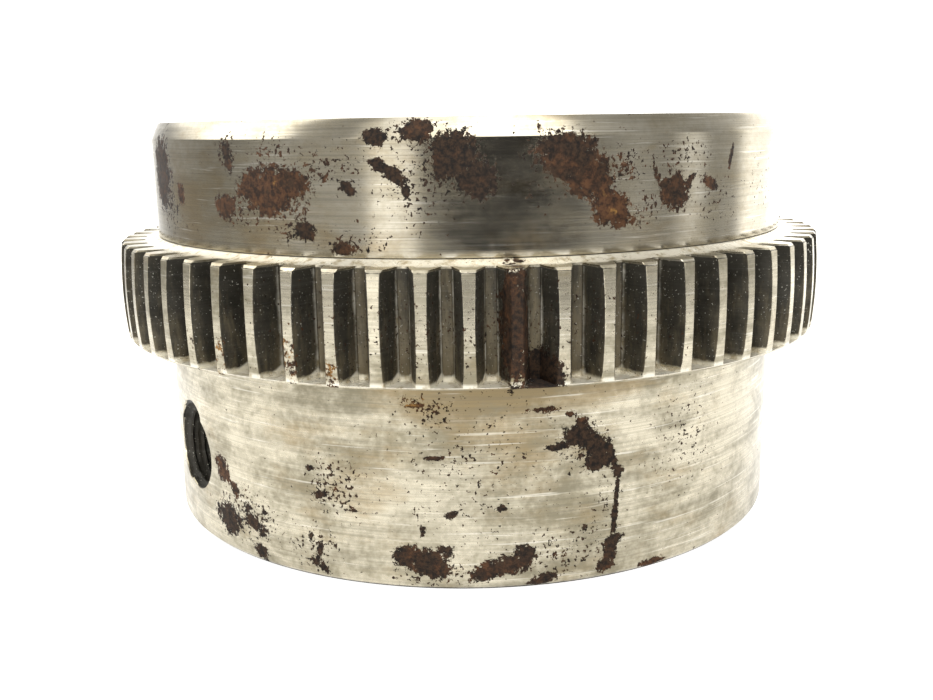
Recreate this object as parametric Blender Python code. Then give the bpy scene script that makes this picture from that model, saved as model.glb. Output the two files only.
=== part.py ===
"""Slewing ring bearing with external gear teeth, as an assembly of separate pieces.

A geared outer ring stands on its lower face. Its plain skirt holds one radial tapped port. An inner ring
turns inside it on one row of balls, and its top flange overhangs the gear. Metres, +Z along the axis of
rotation, origin on that axis at the outer ring's lower face. Bearings round the axis are given as azimuths:
0 faces -Y and a positive azimuth goes towards +X.
"""

import math

import bmesh
import bpy
from mathutils import Matrix, Vector

# Gear
GEAR_MODULE = 0.003
TEETH = 62
PRESSURE_ANGLE = math.radians(20.0)
ADDENDUM = 1.0  # in modules
DEDENDUM = 1.25  # in modules
GEAR_BOTTOM = 0.0492
GEAR_FACE = 0.0246
CROWN_DROP = 0.0007  # how far the tip radius falls from mid face to the ends
TOOTH_END_CHAMFER = 0.0008
LEDGE_THICKNESS = 0.0005  # the thin rim under each tooth space
LEDGE_CHAMFER = 0.0003

# Outer ring
SKIRT_BELOW_ROOT = 0.00515  # the skirt's wall is this far inside the tooth roots
SKIRT_WALL = 0.0141
SKIRT_CHAMFER = 0.0011
LIP_CREST_OUTSIDE = 0.0003  # the lip's crest stands this far outside the flange
LIP_CREST_WIDTH = 0.0018
LIP_HEIGHT = 0.0010
LIP_TO_TOOTH_ROOT = 0.0006
TOP_LAND_DROP = 0.0004  # inner top land, below the gear's upper face

# Inner ring
FLANGE_THICKNESS = 0.0286
FLANGE_BELOW_ROOT = 0.00355  # the flange's wall is this far inside the tooth roots
FLANGE_CHAMFER_HEIGHT = 0.0041
FLANGE_CHAMFER_INSET = 0.0018
FLANGE_LOWER_CHAMFER = 0.0003
INNER_RING_WALL = 0.018  # from the bore to the wall that faces the outer ring
BORE_CHAMFER = 0.0015
INNER_RING_LIFT = 0.002  # lower face above the outer ring's lower face
INNER_RING_CHAMFER = 0.001
SEAM_GAP = 0.0003  # flange underside over the lip's crest

# Ball row
BALL_COUNT = 22
BALL_BRIDGE = 0.00335  # between neighbouring balls
HALF_RING_GAP = 0.002  # from the ball circle to either ring's wall
RACEWAY_CLEARANCE = 0.0004
RACEWAY_COVER = 0.0035  # from the raceway's top to the outer ring's top land
RACEWAY_STEPS = 5

# Cage
CAGE_THICKNESS = 0.0028
CAGE_RIM = 0.0025  # above and below the balls
POCKET_CLEARANCE = 0.0003

# Seals
SEAL_FIT = 0.0003
UPPER_SEAL_WIDTH = 0.006
UPPER_SEAL_DEPTH = 0.003
UPPER_SEAL_INSET = 0.003  # groove wall from the raceway wall
SEAL_LIP_WIDTH = 0.0012
LOWER_SEAL_WIDTH = 0.004
LOWER_SEAL_HEIGHT = 0.006
LOWER_SEAL_RECESS = 0.0015

# Radial tapped port, M20
PORT_AZIMUTH = math.radians(-57.0)
PORT_HEIGHT = 0.0216
PORT_RADIUS = 0.00865
PORT_CHAMFER = 0.00135

# Tapped mounting holes, modelled at their tapping drill size
FLANGE_BOLT_COUNT = 8
FLANGE_BOLT_INSET = 0.0157  # from the flange's wall to the bolt circle
FLANGE_BOLT_RADIUS = 0.00425
FLANGE_BOLT_FLOOR = 0.0086  # metal left under the holes
BASE_BOLT_COUNT = 8
BASE_BOLT_RADIUS = 0.0034
BASE_BOLT_DEPTH = 0.018

# Ball filling plug and its taper pin
PLUG_AZIMUTH = math.radians(135.0)
PLUG_OVER_BALL = 0.0002  # how much larger in radius the plug is than a ball
PLUG_FIT = 0.0003
PLUG_RING_SHARES = (1.0, 0.85, 0.65, 0.4)  # loops on the plug's hollow end
PIN_FROM_BORE = 0.006
PIN_TOP_RADIUS = 0.003
PIN_TAPER = 1.0 / 50.0
PIN_RECESS = 0.0006
PIN_ENGAGEMENT = 0.0045  # how deep the pin reaches into the plug
PIN_FIT = 0.0003

# Grease nipples
NIPPLE_COUNT = 4
NIPPLE_STUB_RADIUS = 0.0026
NIPPLE_STUB_LENGTH = 0.0045
NIPPLE_HEX_RADIUS = 0.0040
NIPPLE_HEX_HEIGHT = 0.0025
NIPPLE_NECK_RADIUS = 0.0017
NIPPLE_HEAD_RADIUS = 0.0029
NIPPLE_HEAD_LENGTH = 0.0045
NIPPLE_NECK_SHARE = 1 / 3  # of the head's length
NIPPLE_FIT = 0.0003
GREASE_CHANNEL_RADIUS = 0.0015

# Facets
RING_SEGMENTS = 60
BALL_SEGMENTS = 12
BALL_RINGS = 6
HOLE_SEGMENTS = 10
POCKET_SEGMENTS = 12
PORT_SEGMENTS = 20
CUT_PAST = 0.002  # how far a cutter runs past the face that it opens
SHARP_ANGLE = math.radians(32.0)

# Worked out from the sizes above
PITCH_RADIUS = GEAR_MODULE * TEETH / 2
TIP_RADIUS = PITCH_RADIUS + ADDENDUM * GEAR_MODULE
ROOT_RADIUS = PITCH_RADIUS - DEDENDUM * GEAR_MODULE
BASE_CIRCLE_RADIUS = PITCH_RADIUS * math.cos(PRESSURE_ANGLE)
TOOTH_PITCH = 2 * math.pi / TEETH
GEAR_TOP = GEAR_BOTTOM + GEAR_FACE
GEAR_MIDDLE = GEAR_BOTTOM + GEAR_FACE / 2
LEDGE_TOP = GEAR_BOTTOM + LEDGE_THICKNESS
LIP_CREST = GEAR_TOP + LIP_HEIGHT
TOP_LAND = GEAR_TOP - TOP_LAND_DROP
FLANGE_BOTTOM = LIP_CREST + SEAM_GAP
TOTAL_HEIGHT = FLANGE_BOTTOM + FLANGE_THICKNESS
SKIRT_RADIUS = ROOT_RADIUS - SKIRT_BELOW_ROOT
FLANGE_RADIUS = ROOT_RADIUS - FLANGE_BELOW_ROOT
OUTER_WALL = SKIRT_RADIUS - SKIRT_WALL
BALL_CIRCLE_RADIUS = OUTER_WALL - HALF_RING_GAP
INNER_WALL = BALL_CIRCLE_RADIUS - HALF_RING_GAP
BORE_RADIUS = INNER_WALL - INNER_RING_WALL
BALL_RADIUS = BALL_CIRCLE_RADIUS * math.sin(math.pi / BALL_COUNT) - BALL_BRIDGE / 2
RACEWAY_RADIUS = BALL_RADIUS + RACEWAY_CLEARANCE
ROW_HEIGHT = TOP_LAND - RACEWAY_COVER - RACEWAY_RADIUS
CAGE_REACH = BALL_RADIUS + CAGE_RIM
GROOVE_FLOOR = BALL_CIRCLE_RADIUS - RACEWAY_RADIUS
UPPER_GROOVE_INNER = OUTER_WALL + UPPER_SEAL_INSET
UPPER_GROOVE_OUTER = UPPER_GROOVE_INNER + UPPER_SEAL_WIDTH + 2 * SEAL_FIT
UPPER_GROOVE_FLOOR = TOP_LAND - UPPER_SEAL_DEPTH
COUNTERBORE_RADIUS = OUTER_WALL + LOWER_SEAL_WIDTH
COUNTERBORE_DEPTH = LOWER_SEAL_RECESS + LOWER_SEAL_HEIGHT + SEAL_FIT
BASE_BOLT_CIRCLE = (COUNTERBORE_RADIUS + SKIRT_RADIUS) / 2
PORT_MOUTH_RADIUS = PORT_RADIUS + PORT_CHAMFER
FLANGE_BOLT_CIRCLE = FLANGE_RADIUS - FLANGE_BOLT_INSET
FLANGE_BOLT_DEPTH = FLANGE_THICKNESS - FLANGE_BOLT_FLOOR
PLUG_RADIUS = BALL_RADIUS + PLUG_OVER_BALL
PLUG_TOP = ROW_HEIGHT + PLUG_RADIUS
PIN_CIRCLE = BORE_RADIUS + PIN_FROM_BORE


def direction(azimuth):
    """Unit vector away from the axis at an azimuth."""
    return Vector((math.sin(azimuth), -math.cos(azimuth), 0.0))


def place(radius, azimuth, z):
    spot = direction(azimuth) * radius
    spot.z = z
    return spot


def material(name, colour, metallic, roughness):
    made = bpy.data.materials.new(name)
    made.use_nodes = True
    shader = made.node_tree.nodes["Principled BSDF"]
    shader.inputs["Base Color"].default_value = (*colour, 1.0)
    shader.inputs["Metallic"].default_value = metallic
    shader.inputs["Roughness"].default_value = roughness
    return made


def finished(bm, name, made_of=None):
    """Turn a bmesh into a scene object with outward faces and smooth round surfaces."""
    bmesh.ops.recalc_face_normals(bm, faces=bm.faces)
    mesh = bpy.data.meshes.new(name)
    bm.to_mesh(mesh)
    bm.free()
    mesh.shade_smooth()
    mesh.set_sharp_from_angle(angle=SHARP_ANGLE)
    thing = bpy.data.objects.new(name, mesh)
    bpy.context.scene.collection.objects.link(thing)
    if made_of is not None:
        mesh.materials.append(made_of)
    return thing


def circle(bm, radius, z, count, first=0.0):
    step = 2 * math.pi / count
    return [bm.verts.new(place(radius, first + i * step, z)) for i in range(count)]


def join_loops(bm, a, b):
    """Quads between two closed loops with the same number of points."""
    for i in range(len(a)):
        j = (i + 1) % len(a)
        bm.faces.new((a[i], a[j], b[j], b[i]))


def join_one_to_two(bm, coarse, fine):
    """Flat faces between a loop and one with twice its points."""
    for i in range(len(coarse)):
        j = (i + 1) % len(coarse)
        bm.faces.new((coarse[i], coarse[j], fine[2 * j], fine[2 * i + 1], fine[2 * i]))


def turned(name, profile, segments, made_of=None):
    """A closed (radius, z) outline turned round the axis."""
    bm = bmesh.new()
    loops = [circle(bm, radius, z, segments) for radius, z in profile]
    for i, loop in enumerate(loops):
        join_loops(bm, loop, loops[(i + 1) % len(loops)])
    return finished(bm, name, made_of)


def spindle(name, outline, segments, made_of=None):
    """A solid bar along its own +Z from (radius, z) stations, closed by flat ends."""
    bm = bmesh.new()
    loops = [circle(bm, radius, z, segments) for radius, z in outline]
    for a, b in zip(loops, loops[1:]):
        join_loops(bm, a, b)
    bm.faces.new(loops[0])
    bm.faces.new(loops[-1])
    return finished(bm, name, made_of)


def aim_outwards(thing, azimuth, z):
    """Lay a spindle along a radius, its own +Z away from the axis, its origin on the axis at height z."""
    across = Vector((0.0, 0.0, 1.0)).rotation_difference(direction(azimuth))
    thing.matrix_world = Matrix.Translation((0.0, 0.0, z)) @ across.to_matrix().to_4x4()


def cut(thing, cutter):
    """Subtract a cutter, which stays in the file as a wire guide."""
    cutter.hide_render = True
    cutter.display_type = "WIRE"
    change = thing.modifiers.new(cutter.name, "BOOLEAN")
    change.operation = "DIFFERENCE"
    change.solver = "EXACT"
    change.object = cutter


def half_tooth_angle(radius):
    """Half the angle that an involute tooth fills at a radius."""
    at_pitch = math.tan(PRESSURE_ANGLE) - PRESSURE_ANGLE
    slope = math.acos(BASE_CIRCLE_RADIUS / radius)
    return TOOTH_PITCH / 4 + at_pitch - (math.tan(slope) - slope)


def tip_radius_at(z):
    """The tips are crowned: an arc that falls by CROWN_DROP at each end of the face."""
    share = (z - GEAR_MIDDLE) / (GEAR_FACE / 2)
    return TIP_RADIUS - CROWN_DROP * share * share


def tooth_loop(bm, z, tip_radius):
    """Five points for each tooth: mid space, up one flank, over the tip and down the other."""
    points = []
    for k in range(TEETH):
        centre = k * TOOTH_PITCH
        points.append(bm.verts.new(place(ROOT_RADIUS, centre - TOOTH_PITCH / 2, z)))
        for radius in (ROOT_RADIUS, tip_radius):
            points.append(bm.verts.new(place(radius, centre - half_tooth_angle(radius), z)))
        for radius in (tip_radius, ROOT_RADIUS):
            points.append(bm.verts.new(place(radius, centre + half_tooth_angle(radius), z)))
    return points


def tooth_band(bm):
    """The toothed wall from the ledge to the gear's upper face, as its lowest and highest loops."""
    land_top = GEAR_TOP - TOOTH_END_CHAMFER
    loops = [tooth_loop(bm, z, tip_radius_at(z)) for z in (LEDGE_TOP, GEAR_MIDDLE, land_top)]
    loops.append(tooth_loop(bm, GEAR_TOP, tip_radius_at(land_top) - TOOTH_END_CHAMFER))
    for a, b in zip(loops, loops[1:]):
        join_loops(bm, a, b)
    return loops[0], loops[-1]


def ledge(bm, teeth):
    """The thin rim that closes each tooth space from below, down to its chamfered lower edge."""
    radius = tip_radius_at(LEDGE_TOP)
    lower_radius = radius - LEDGE_CHAMFER
    edge = []
    lower = []
    for k in range(TEETH):
        middle = (k - 0.5) * TOOTH_PITCH
        half_tip = half_tooth_angle(radius)
        edge.append(bm.verts.new(place(radius, middle, LEDGE_TOP)))
        edge.extend((teeth[5 * k + 2], teeth[5 * k + 3]))
        lower.append(bm.verts.new(place(lower_radius, middle, GEAR_BOTTOM)))
        for side in (-half_tip, half_tip):
            lower.append(bm.verts.new(place(lower_radius, k * TOOTH_PITCH + side, GEAR_BOTTOM)))
    for k in range(TEETH):
        after = (k + 1) % TEETH
        space = [teeth[5 * k + i] for i in (3, 4)] + [teeth[5 * after + i] for i in (0, 1, 2)]
        bm.faces.new([*space, edge[3 * after]])
    join_loops(bm, edge, lower)
    return lower


def raceway(side):
    """(radius, z) points of a ball groove, upwards, its flats on the groove's circle.

    side is +1 for the outer ring's groove and -1 for the inner ring's.
    """
    reach = math.acos(HALF_RING_GAP / RACEWAY_RADIUS)
    points = []
    for i in range(RACEWAY_STEPS + 1):
        angle = reach * (2 * i / RACEWAY_STEPS - 1)
        at_end = i in (0, RACEWAY_STEPS)
        groove = RACEWAY_RADIUS if at_end else RACEWAY_RADIUS / math.cos(reach / RACEWAY_STEPS)
        radius = BALL_CIRCLE_RADIUS + side * groove * math.cos(angle)
        points.append((radius, ROW_HEIGHT + groove * math.sin(angle)))
    return points


def outer_ring_blank(steel):
    bm = bmesh.new()
    first = -TOOTH_PITCH / 2
    low_teeth, high_teeth = tooth_band(bm)
    rim = ledge(bm, low_teeth)

    def fine(radius, z):
        return circle(bm, radius, z, 2 * TEETH, first)

    def coarse(radius, z):
        return circle(bm, radius, z, TEETH, first)

    skirt_top = fine(SKIRT_RADIUS, GEAR_BOTTOM)
    for k in range(TEETH):
        after = (k + 1) % TEETH
        outside = [rim[3 * k], rim[3 * k + 1], rim[3 * k + 2], rim[3 * after]]
        bm.faces.new([*outside, skirt_top[2 * after], skirt_top[2 * k + 1], skirt_top[2 * k]])
    skirt_foot = fine(SKIRT_RADIUS, SKIRT_CHAMFER)
    base_edge = fine(SKIRT_RADIUS - SKIRT_CHAMFER, 0.0)
    join_loops(bm, skirt_top, skirt_foot)
    join_loops(bm, skirt_foot, base_edge)

    wall = [(COUNTERBORE_RADIUS, 0.0), (COUNTERBORE_RADIUS, COUNTERBORE_DEPTH)]
    wall.append((OUTER_WALL, COUNTERBORE_DEPTH))
    wall += raceway(1)
    wall += [(OUTER_WALL, TOP_LAND), (UPPER_GROOVE_INNER, TOP_LAND)]
    wall += [(UPPER_GROOVE_INNER, UPPER_GROOVE_FLOOR), (UPPER_GROOVE_OUTER, UPPER_GROOVE_FLOOR)]
    wall.append((UPPER_GROOVE_OUTER, TOP_LAND))
    crest_outer = FLANGE_RADIUS + LIP_CREST_OUTSIDE
    crest_inner = crest_outer - LIP_CREST_WIDTH
    wall += [(crest_inner, TOP_LAND), (crest_inner, LIP_CREST)]
    loops = [coarse(radius, z) for radius, z in wall]
    join_one_to_two(bm, loops[0], base_edge)
    for a, b in zip(loops, loops[1:]):
        join_loops(bm, a, b)

    crest = fine(crest_outer, LIP_CREST)
    foot = fine(ROOT_RADIUS - LIP_TO_TOOTH_ROOT, GEAR_TOP)
    join_one_to_two(bm, loops[-1], crest)
    join_loops(bm, crest, foot)
    for k in range(TEETH):
        after = (k + 1) % TEETH
        tooth = [high_teeth[5 * k + i] for i in range(5)] + [high_teeth[5 * after]]
        bm.faces.new([*tooth, foot[2 * after], foot[2 * k + 1], foot[2 * k]])
    return finished(bm, "outer_ring_gear", steel)


def base_bolt_azimuth(i):
    """The base holes keep clear of the port: it sits midway between two of them."""
    return PORT_AZIMUTH + (i + 0.5) * 2 * math.pi / BASE_BOLT_COUNT


def outer_ring(steel):
    ring = outer_ring_blank(steel)
    outline = [(PORT_RADIUS, OUTER_WALL - CUT_PAST)]
    outline.append((PORT_RADIUS, SKIRT_RADIUS - (PORT_MOUTH_RADIUS - PORT_RADIUS)))
    outline.append((PORT_MOUTH_RADIUS + CUT_PAST, SKIRT_RADIUS + CUT_PAST))
    port = spindle("port_cutter", outline, PORT_SEGMENTS)
    aim_outwards(port, PORT_AZIMUTH, PORT_HEIGHT)
    cut(ring, port)
    for i in range(BASE_BOLT_COUNT):
        ends = [(BASE_BOLT_RADIUS, -CUT_PAST), (BASE_BOLT_RADIUS, BASE_BOLT_DEPTH)]
        hole = spindle(f"base_hole_cutter_{i + 1}", ends, HOLE_SEGMENTS)
        hole.location = place(BASE_BOLT_CIRCLE, base_bolt_azimuth(i), 0.0)
        cut(ring, hole)
    return ring


def nipple_azimuth(i):
    return i * 2 * math.pi / NIPPLE_COUNT


def cut_flange_holes(ring):
    for i in range(FLANGE_BOLT_COUNT):
        azimuth = (i + 0.5) * 2 * math.pi / FLANGE_BOLT_COUNT
        ends = [(FLANGE_BOLT_RADIUS, -FLANGE_BOLT_DEPTH), (FLANGE_BOLT_RADIUS, CUT_PAST)]
        hole = spindle(f"flange_hole_cutter_{i + 1}", ends, HOLE_SEGMENTS)
        hole.location = place(FLANGE_BOLT_CIRCLE, azimuth, TOTAL_HEIGHT)
        cut(ring, hole)


def cut_filling_hole(ring):
    radius = PLUG_RADIUS + PLUG_FIT
    ends = [(radius, BORE_RADIUS - CUT_PAST), (radius, INNER_WALL + CUT_PAST)]
    hole = spindle("filling_hole_cutter", ends, PORT_SEGMENTS)
    aim_outwards(hole, PLUG_AZIMUTH, ROW_HEIGHT)
    cut(ring, hole)
    radius = PIN_TOP_RADIUS + PIN_FIT
    ends = [(radius, PLUG_TOP - CUT_PAST), (radius, TOTAL_HEIGHT + CUT_PAST)]
    hole = spindle("pin_hole_cutter", ends, HOLE_SEGMENTS)
    hole.location = place(PIN_CIRCLE, PLUG_AZIMUTH, 0.0)
    cut(ring, hole)


def cut_grease_channels(ring):
    thread = NIPPLE_STUB_RADIUS + NIPPLE_FIT
    floor = BORE_RADIUS + NIPPLE_STUB_LENGTH + NIPPLE_FIT
    outline = [(thread, BORE_RADIUS - CUT_PAST), (thread, floor)]
    outline.append((GREASE_CHANNEL_RADIUS, floor + CUT_PAST))
    outline.append((GREASE_CHANNEL_RADIUS, GROOVE_FLOOR + CUT_PAST))
    for i in range(NIPPLE_COUNT):
        channel = spindle(f"grease_channel_cutter_{i + 1}", outline, HOLE_SEGMENTS)
        aim_outwards(channel, nipple_azimuth(i), ROW_HEIGHT)
        cut(ring, channel)


def inner_ring(steel):
    foot = INNER_RING_LIFT
    outline = [(BORE_RADIUS + BORE_CHAMFER, foot), (INNER_WALL - INNER_RING_CHAMFER, foot)]
    outline.append((INNER_WALL, foot + INNER_RING_CHAMFER))
    outline += raceway(-1)
    outline.append((INNER_WALL, FLANGE_BOTTOM))
    outline.append((FLANGE_RADIUS - FLANGE_LOWER_CHAMFER, FLANGE_BOTTOM))
    outline.append((FLANGE_RADIUS, FLANGE_BOTTOM + FLANGE_LOWER_CHAMFER))
    outline.append((FLANGE_RADIUS, TOTAL_HEIGHT - FLANGE_CHAMFER_HEIGHT))
    outline.append((FLANGE_RADIUS - FLANGE_CHAMFER_INSET, TOTAL_HEIGHT))
    outline.append((BORE_RADIUS + BORE_CHAMFER, TOTAL_HEIGHT))
    outline.append((BORE_RADIUS, TOTAL_HEIGHT - BORE_CHAMFER))
    outline.append((BORE_RADIUS, foot + BORE_CHAMFER))
    ring = turned("inner_ring", outline, RING_SEGMENTS, steel)
    cut_flange_holes(ring)
    cut_filling_hole(ring)
    cut_grease_channels(ring)
    return ring


def filling_plug(steel):
    """A round plug whose outer end continues the inner ring's raceway."""
    bm = bmesh.new()
    angles = [2 * math.pi * i / PORT_SEGMENTS for i in range(PORT_SEGMENTS)]
    loops = []
    for share in PLUG_RING_SHARES:
        radius = share * PLUG_RADIUS
        spots = [plug_end_point(radius * math.cos(angle), radius * math.sin(angle)) for angle in angles]
        loops.append([bm.verts.new(spot) for spot in spots])
    for a, b in zip(loops, loops[1:]):
        join_loops(bm, a, b)
    centre = bm.verts.new(plug_end_point(0.0, 0.0))
    for i in range(PORT_SEGMENTS):
        bm.faces.new((loops[-1][i], loops[-1][(i + 1) % PORT_SEGMENTS], centre))
    back = []
    for angle in angles:
        spot = (PLUG_RADIUS * math.cos(angle), PLUG_RADIUS * math.sin(angle), BORE_RADIUS + PLUG_FIT)
        back.append(bm.verts.new(spot))
    join_loops(bm, loops[0], back)
    bm.faces.new(back)
    plug = finished(bm, "ball_filling_plug", steel)
    outwards = direction(PLUG_AZIMUTH)
    upwards = Vector((0.0, 0.0, 1.0))
    sideways = upwards.cross(outwards)
    turn = Matrix((sideways, upwards, outwards)).transposed()
    plug.matrix_world = Matrix.Translation((0.0, 0.0, ROW_HEIGHT)) @ turn.to_4x4()
    hole_radius = PIN_TOP_RADIUS + PIN_FIT
    ends = [(hole_radius, PLUG_TOP - PIN_ENGAGEMENT - PIN_FIT), (hole_radius, PLUG_TOP + CUT_PAST)]
    hole = spindle("plug_pin_hole_cutter", ends, HOLE_SEGMENTS)
    hole.location = place(PIN_CIRCLE, PLUG_AZIMUTH, 0.0)
    cut(plug, hole)
    return plug


def plug_end_point(sideways, upwards):
    """A point of the plug's outer end, on the raceway's surface but never past the ring's wall."""
    depth = math.sqrt(RACEWAY_RADIUS**2 - upwards**2)
    radius = min(BALL_CIRCLE_RADIUS - depth, INNER_WALL)
    return Vector((sideways, upwards, math.sqrt(radius**2 - sideways**2)))


def taper_pin(steel):
    low = PLUG_TOP - PIN_ENGAGEMENT
    high = TOTAL_HEIGHT - PIN_RECESS
    tip = PIN_TOP_RADIUS - PIN_TAPER * (high - low) / 2
    pin = spindle("taper_pin", [(tip, low), (PIN_TOP_RADIUS, high)], HOLE_SEGMENTS, steel)
    pin.location = place(PIN_CIRCLE, PLUG_AZIMUTH, 0.0)
    return pin


def grease_nipple(i, plating):
    """Its stub sits in the bore's wall and its head points at the axis."""
    seat = BORE_RADIUS - NIPPLE_HEX_RADIUS**2 / (2 * BORE_RADIUS) - NIPPLE_FIT
    neck = seat - NIPPLE_HEX_HEIGHT
    head = neck - NIPPLE_HEAD_LENGTH
    outline = [(NIPPLE_STUB_RADIUS, BORE_RADIUS + NIPPLE_STUB_LENGTH), (NIPPLE_STUB_RADIUS, seat)]
    outline += [(NIPPLE_HEX_RADIUS, seat), (NIPPLE_HEX_RADIUS, neck)]
    throat = neck - NIPPLE_NECK_SHARE * NIPPLE_HEAD_LENGTH
    shoulder = (throat + head) / 2
    outline += [(NIPPLE_NECK_RADIUS, neck), (NIPPLE_NECK_RADIUS, throat)]
    outline += [(NIPPLE_HEAD_RADIUS, shoulder), (NIPPLE_NECK_RADIUS, head)]
    nipple = spindle(f"grease_nipple_{i + 1}", outline, 6, plating)
    aim_outwards(nipple, nipple_azimuth(i), ROW_HEIGHT)
    return nipple


def ball_azimuth(i):
    return (i + 0.5) * 2 * math.pi / BALL_COUNT


def balls(steel):
    """One row of balls that share one mesh."""
    bm = bmesh.new()
    bmesh.ops.create_uvsphere(bm, u_segments=BALL_SEGMENTS, v_segments=BALL_RINGS, radius=BALL_RADIUS)
    first = finished(bm, "ball_01", steel)
    row = [first]
    for i in range(1, BALL_COUNT):
        ball = bpy.data.objects.new(f"ball_{i + 1:02d}", first.data)
        bpy.context.scene.collection.objects.link(ball)
        row.append(ball)
    for i, ball in enumerate(row):
        ball.location = place(BALL_CIRCLE_RADIUS, ball_azimuth(i), ROW_HEIGHT)
        ball.rotation_euler = (0.0, 0.0, ball_azimuth(i))
    return row


def ball_cage(brass):
    low = ROW_HEIGHT - CAGE_REACH
    high = ROW_HEIGHT + CAGE_REACH
    inner = BALL_CIRCLE_RADIUS - CAGE_THICKNESS / 2
    outer = BALL_CIRCLE_RADIUS + CAGE_THICKNESS / 2
    outline = [(inner, low), (outer, low), (outer, high), (inner, high)]
    cage = turned("ball_cage", outline, 3 * BALL_COUNT, brass)
    radius = (BALL_RADIUS + POCKET_CLEARANCE) / math.cos(math.pi / POCKET_SEGMENTS)
    ends = [(radius, inner - CUT_PAST), (radius, outer + CUT_PAST)]
    for i in range(BALL_COUNT):
        pocket = spindle(f"pocket_cutter_{i + 1}", ends, POCKET_SEGMENTS)
        aim_outwards(pocket, ball_azimuth(i), ROW_HEIGHT)
        cut(cage, pocket)
    return cage


def upper_seal(rubber):
    """A ring in the outer ring's top groove, with a lip that reaches up to the flange."""
    inner = UPPER_GROOVE_INNER + SEAL_FIT
    outer = UPPER_GROOVE_OUTER - SEAL_FIT
    low = UPPER_GROOVE_FLOOR + SEAL_FIT
    tip = FLANGE_BOTTOM - SEAL_FIT
    outline = [(inner, low), (outer, low), (outer, TOP_LAND), (outer - SEAL_LIP_WIDTH, TOP_LAND)]
    outline += [(outer, tip), (outer - SEAL_LIP_WIDTH, tip)]
    outline += [(outer - 2 * SEAL_LIP_WIDTH, TOP_LAND), (inner, TOP_LAND)]
    return turned("upper_seal", outline, RING_SEGMENTS, rubber)


def lower_seal(rubber):
    """A ring in the outer ring's lower counterbore, with a lip that reaches in to the inner ring."""
    low = LOWER_SEAL_RECESS
    high = LOWER_SEAL_RECESS + LOWER_SEAL_HEIGHT
    outer = COUNTERBORE_RADIUS - SEAL_FIT
    body = OUTER_WALL + SEAL_FIT
    lip = INNER_WALL + SEAL_FIT
    outline = [(lip, low), (lip, low + SEAL_LIP_WIDTH), (body, low + 2 * SEAL_LIP_WIDTH)]
    outline += [(body, high), (outer, high), (outer, low), (body, low)]
    return turned("lower_seal", outline, RING_SEGMENTS, rubber)


def clear_scene():
    for thing in list(bpy.data.objects):
        bpy.data.objects.remove(thing, do_unlink=True)


def main():
    clear_scene()
    gear_steel = material("gear_steel", (0.50, 0.48, 0.43), 0.9, 0.35)
    ring_steel = material("ring_steel", (0.55, 0.53, 0.48), 0.9, 0.30)
    ball_steel = material("ball_steel", (0.75, 0.75, 0.76), 1.0, 0.10)
    cage_brass = material("cage_brass", (0.70, 0.52, 0.25), 1.0, 0.35)
    seal_rubber = material("seal_rubber", (0.03, 0.03, 0.03), 0.0, 0.60)
    plug_steel = material("plug_steel", (0.45, 0.44, 0.42), 0.9, 0.40)
    pin_steel = material("pin_steel", (0.40, 0.40, 0.40), 0.9, 0.35)
    nipple_plating = material("nipple_plating", (0.72, 0.68, 0.55), 1.0, 0.30)
    outer_ring(gear_steel)
    inner_ring(ring_steel)
    ball_cage(cage_brass)
    balls(ball_steel)
    upper_seal(seal_rubber)
    lower_seal(seal_rubber)
    filling_plug(plug_steel)
    taper_pin(pin_steel)
    for i in range(NIPPLE_COUNT):
        grease_nipple(i, nipple_plating)


main()
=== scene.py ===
"""Looks of the slewing ring bearing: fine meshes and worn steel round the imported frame. Metres, +Z up.

Places round the axis are given as azimuths, as in the part: 0 faces -Y, and a positive one goes
towards +X.
"""

import math
import random

import bmesh
import bpy
import numpy as np
from mathutils import Matrix, Vector


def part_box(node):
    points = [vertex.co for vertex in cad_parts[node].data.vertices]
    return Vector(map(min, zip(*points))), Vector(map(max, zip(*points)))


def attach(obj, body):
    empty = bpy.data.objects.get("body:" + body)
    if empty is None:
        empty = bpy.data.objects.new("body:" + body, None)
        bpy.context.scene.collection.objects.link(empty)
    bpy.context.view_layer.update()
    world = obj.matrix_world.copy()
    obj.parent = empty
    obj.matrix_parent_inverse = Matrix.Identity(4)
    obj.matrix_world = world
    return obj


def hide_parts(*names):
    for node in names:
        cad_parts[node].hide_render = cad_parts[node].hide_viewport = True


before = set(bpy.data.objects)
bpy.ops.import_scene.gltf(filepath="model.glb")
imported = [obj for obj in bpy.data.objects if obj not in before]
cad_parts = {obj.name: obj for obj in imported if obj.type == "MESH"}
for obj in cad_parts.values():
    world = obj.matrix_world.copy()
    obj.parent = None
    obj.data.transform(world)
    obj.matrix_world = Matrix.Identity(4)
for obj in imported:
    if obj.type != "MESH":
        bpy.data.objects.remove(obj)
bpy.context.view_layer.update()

MM = 0.001

# Gear, as in the part
GEAR_MODULE = 3 * MM
TEETH = 62
PRESSURE_ANGLE = math.radians(20.0)
DEDENDUM = 1.25  # in modules
GEAR_BOTTOM = 49.2 * MM
GEAR_FACE = 24.6 * MM
CROWN_DROP = 0.7 * MM
TOOTH_END_CHAMFER = 0.8 * MM
TOOTH_END_INSET = 0.7 * MM
LEDGE_THICKNESS = 0.5 * MM
LEDGE_CHAMFER = 0.3 * MM
ROOT_FILLET = 0.5 * MM
TIP_EDGE = 0.15 * MM

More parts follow.
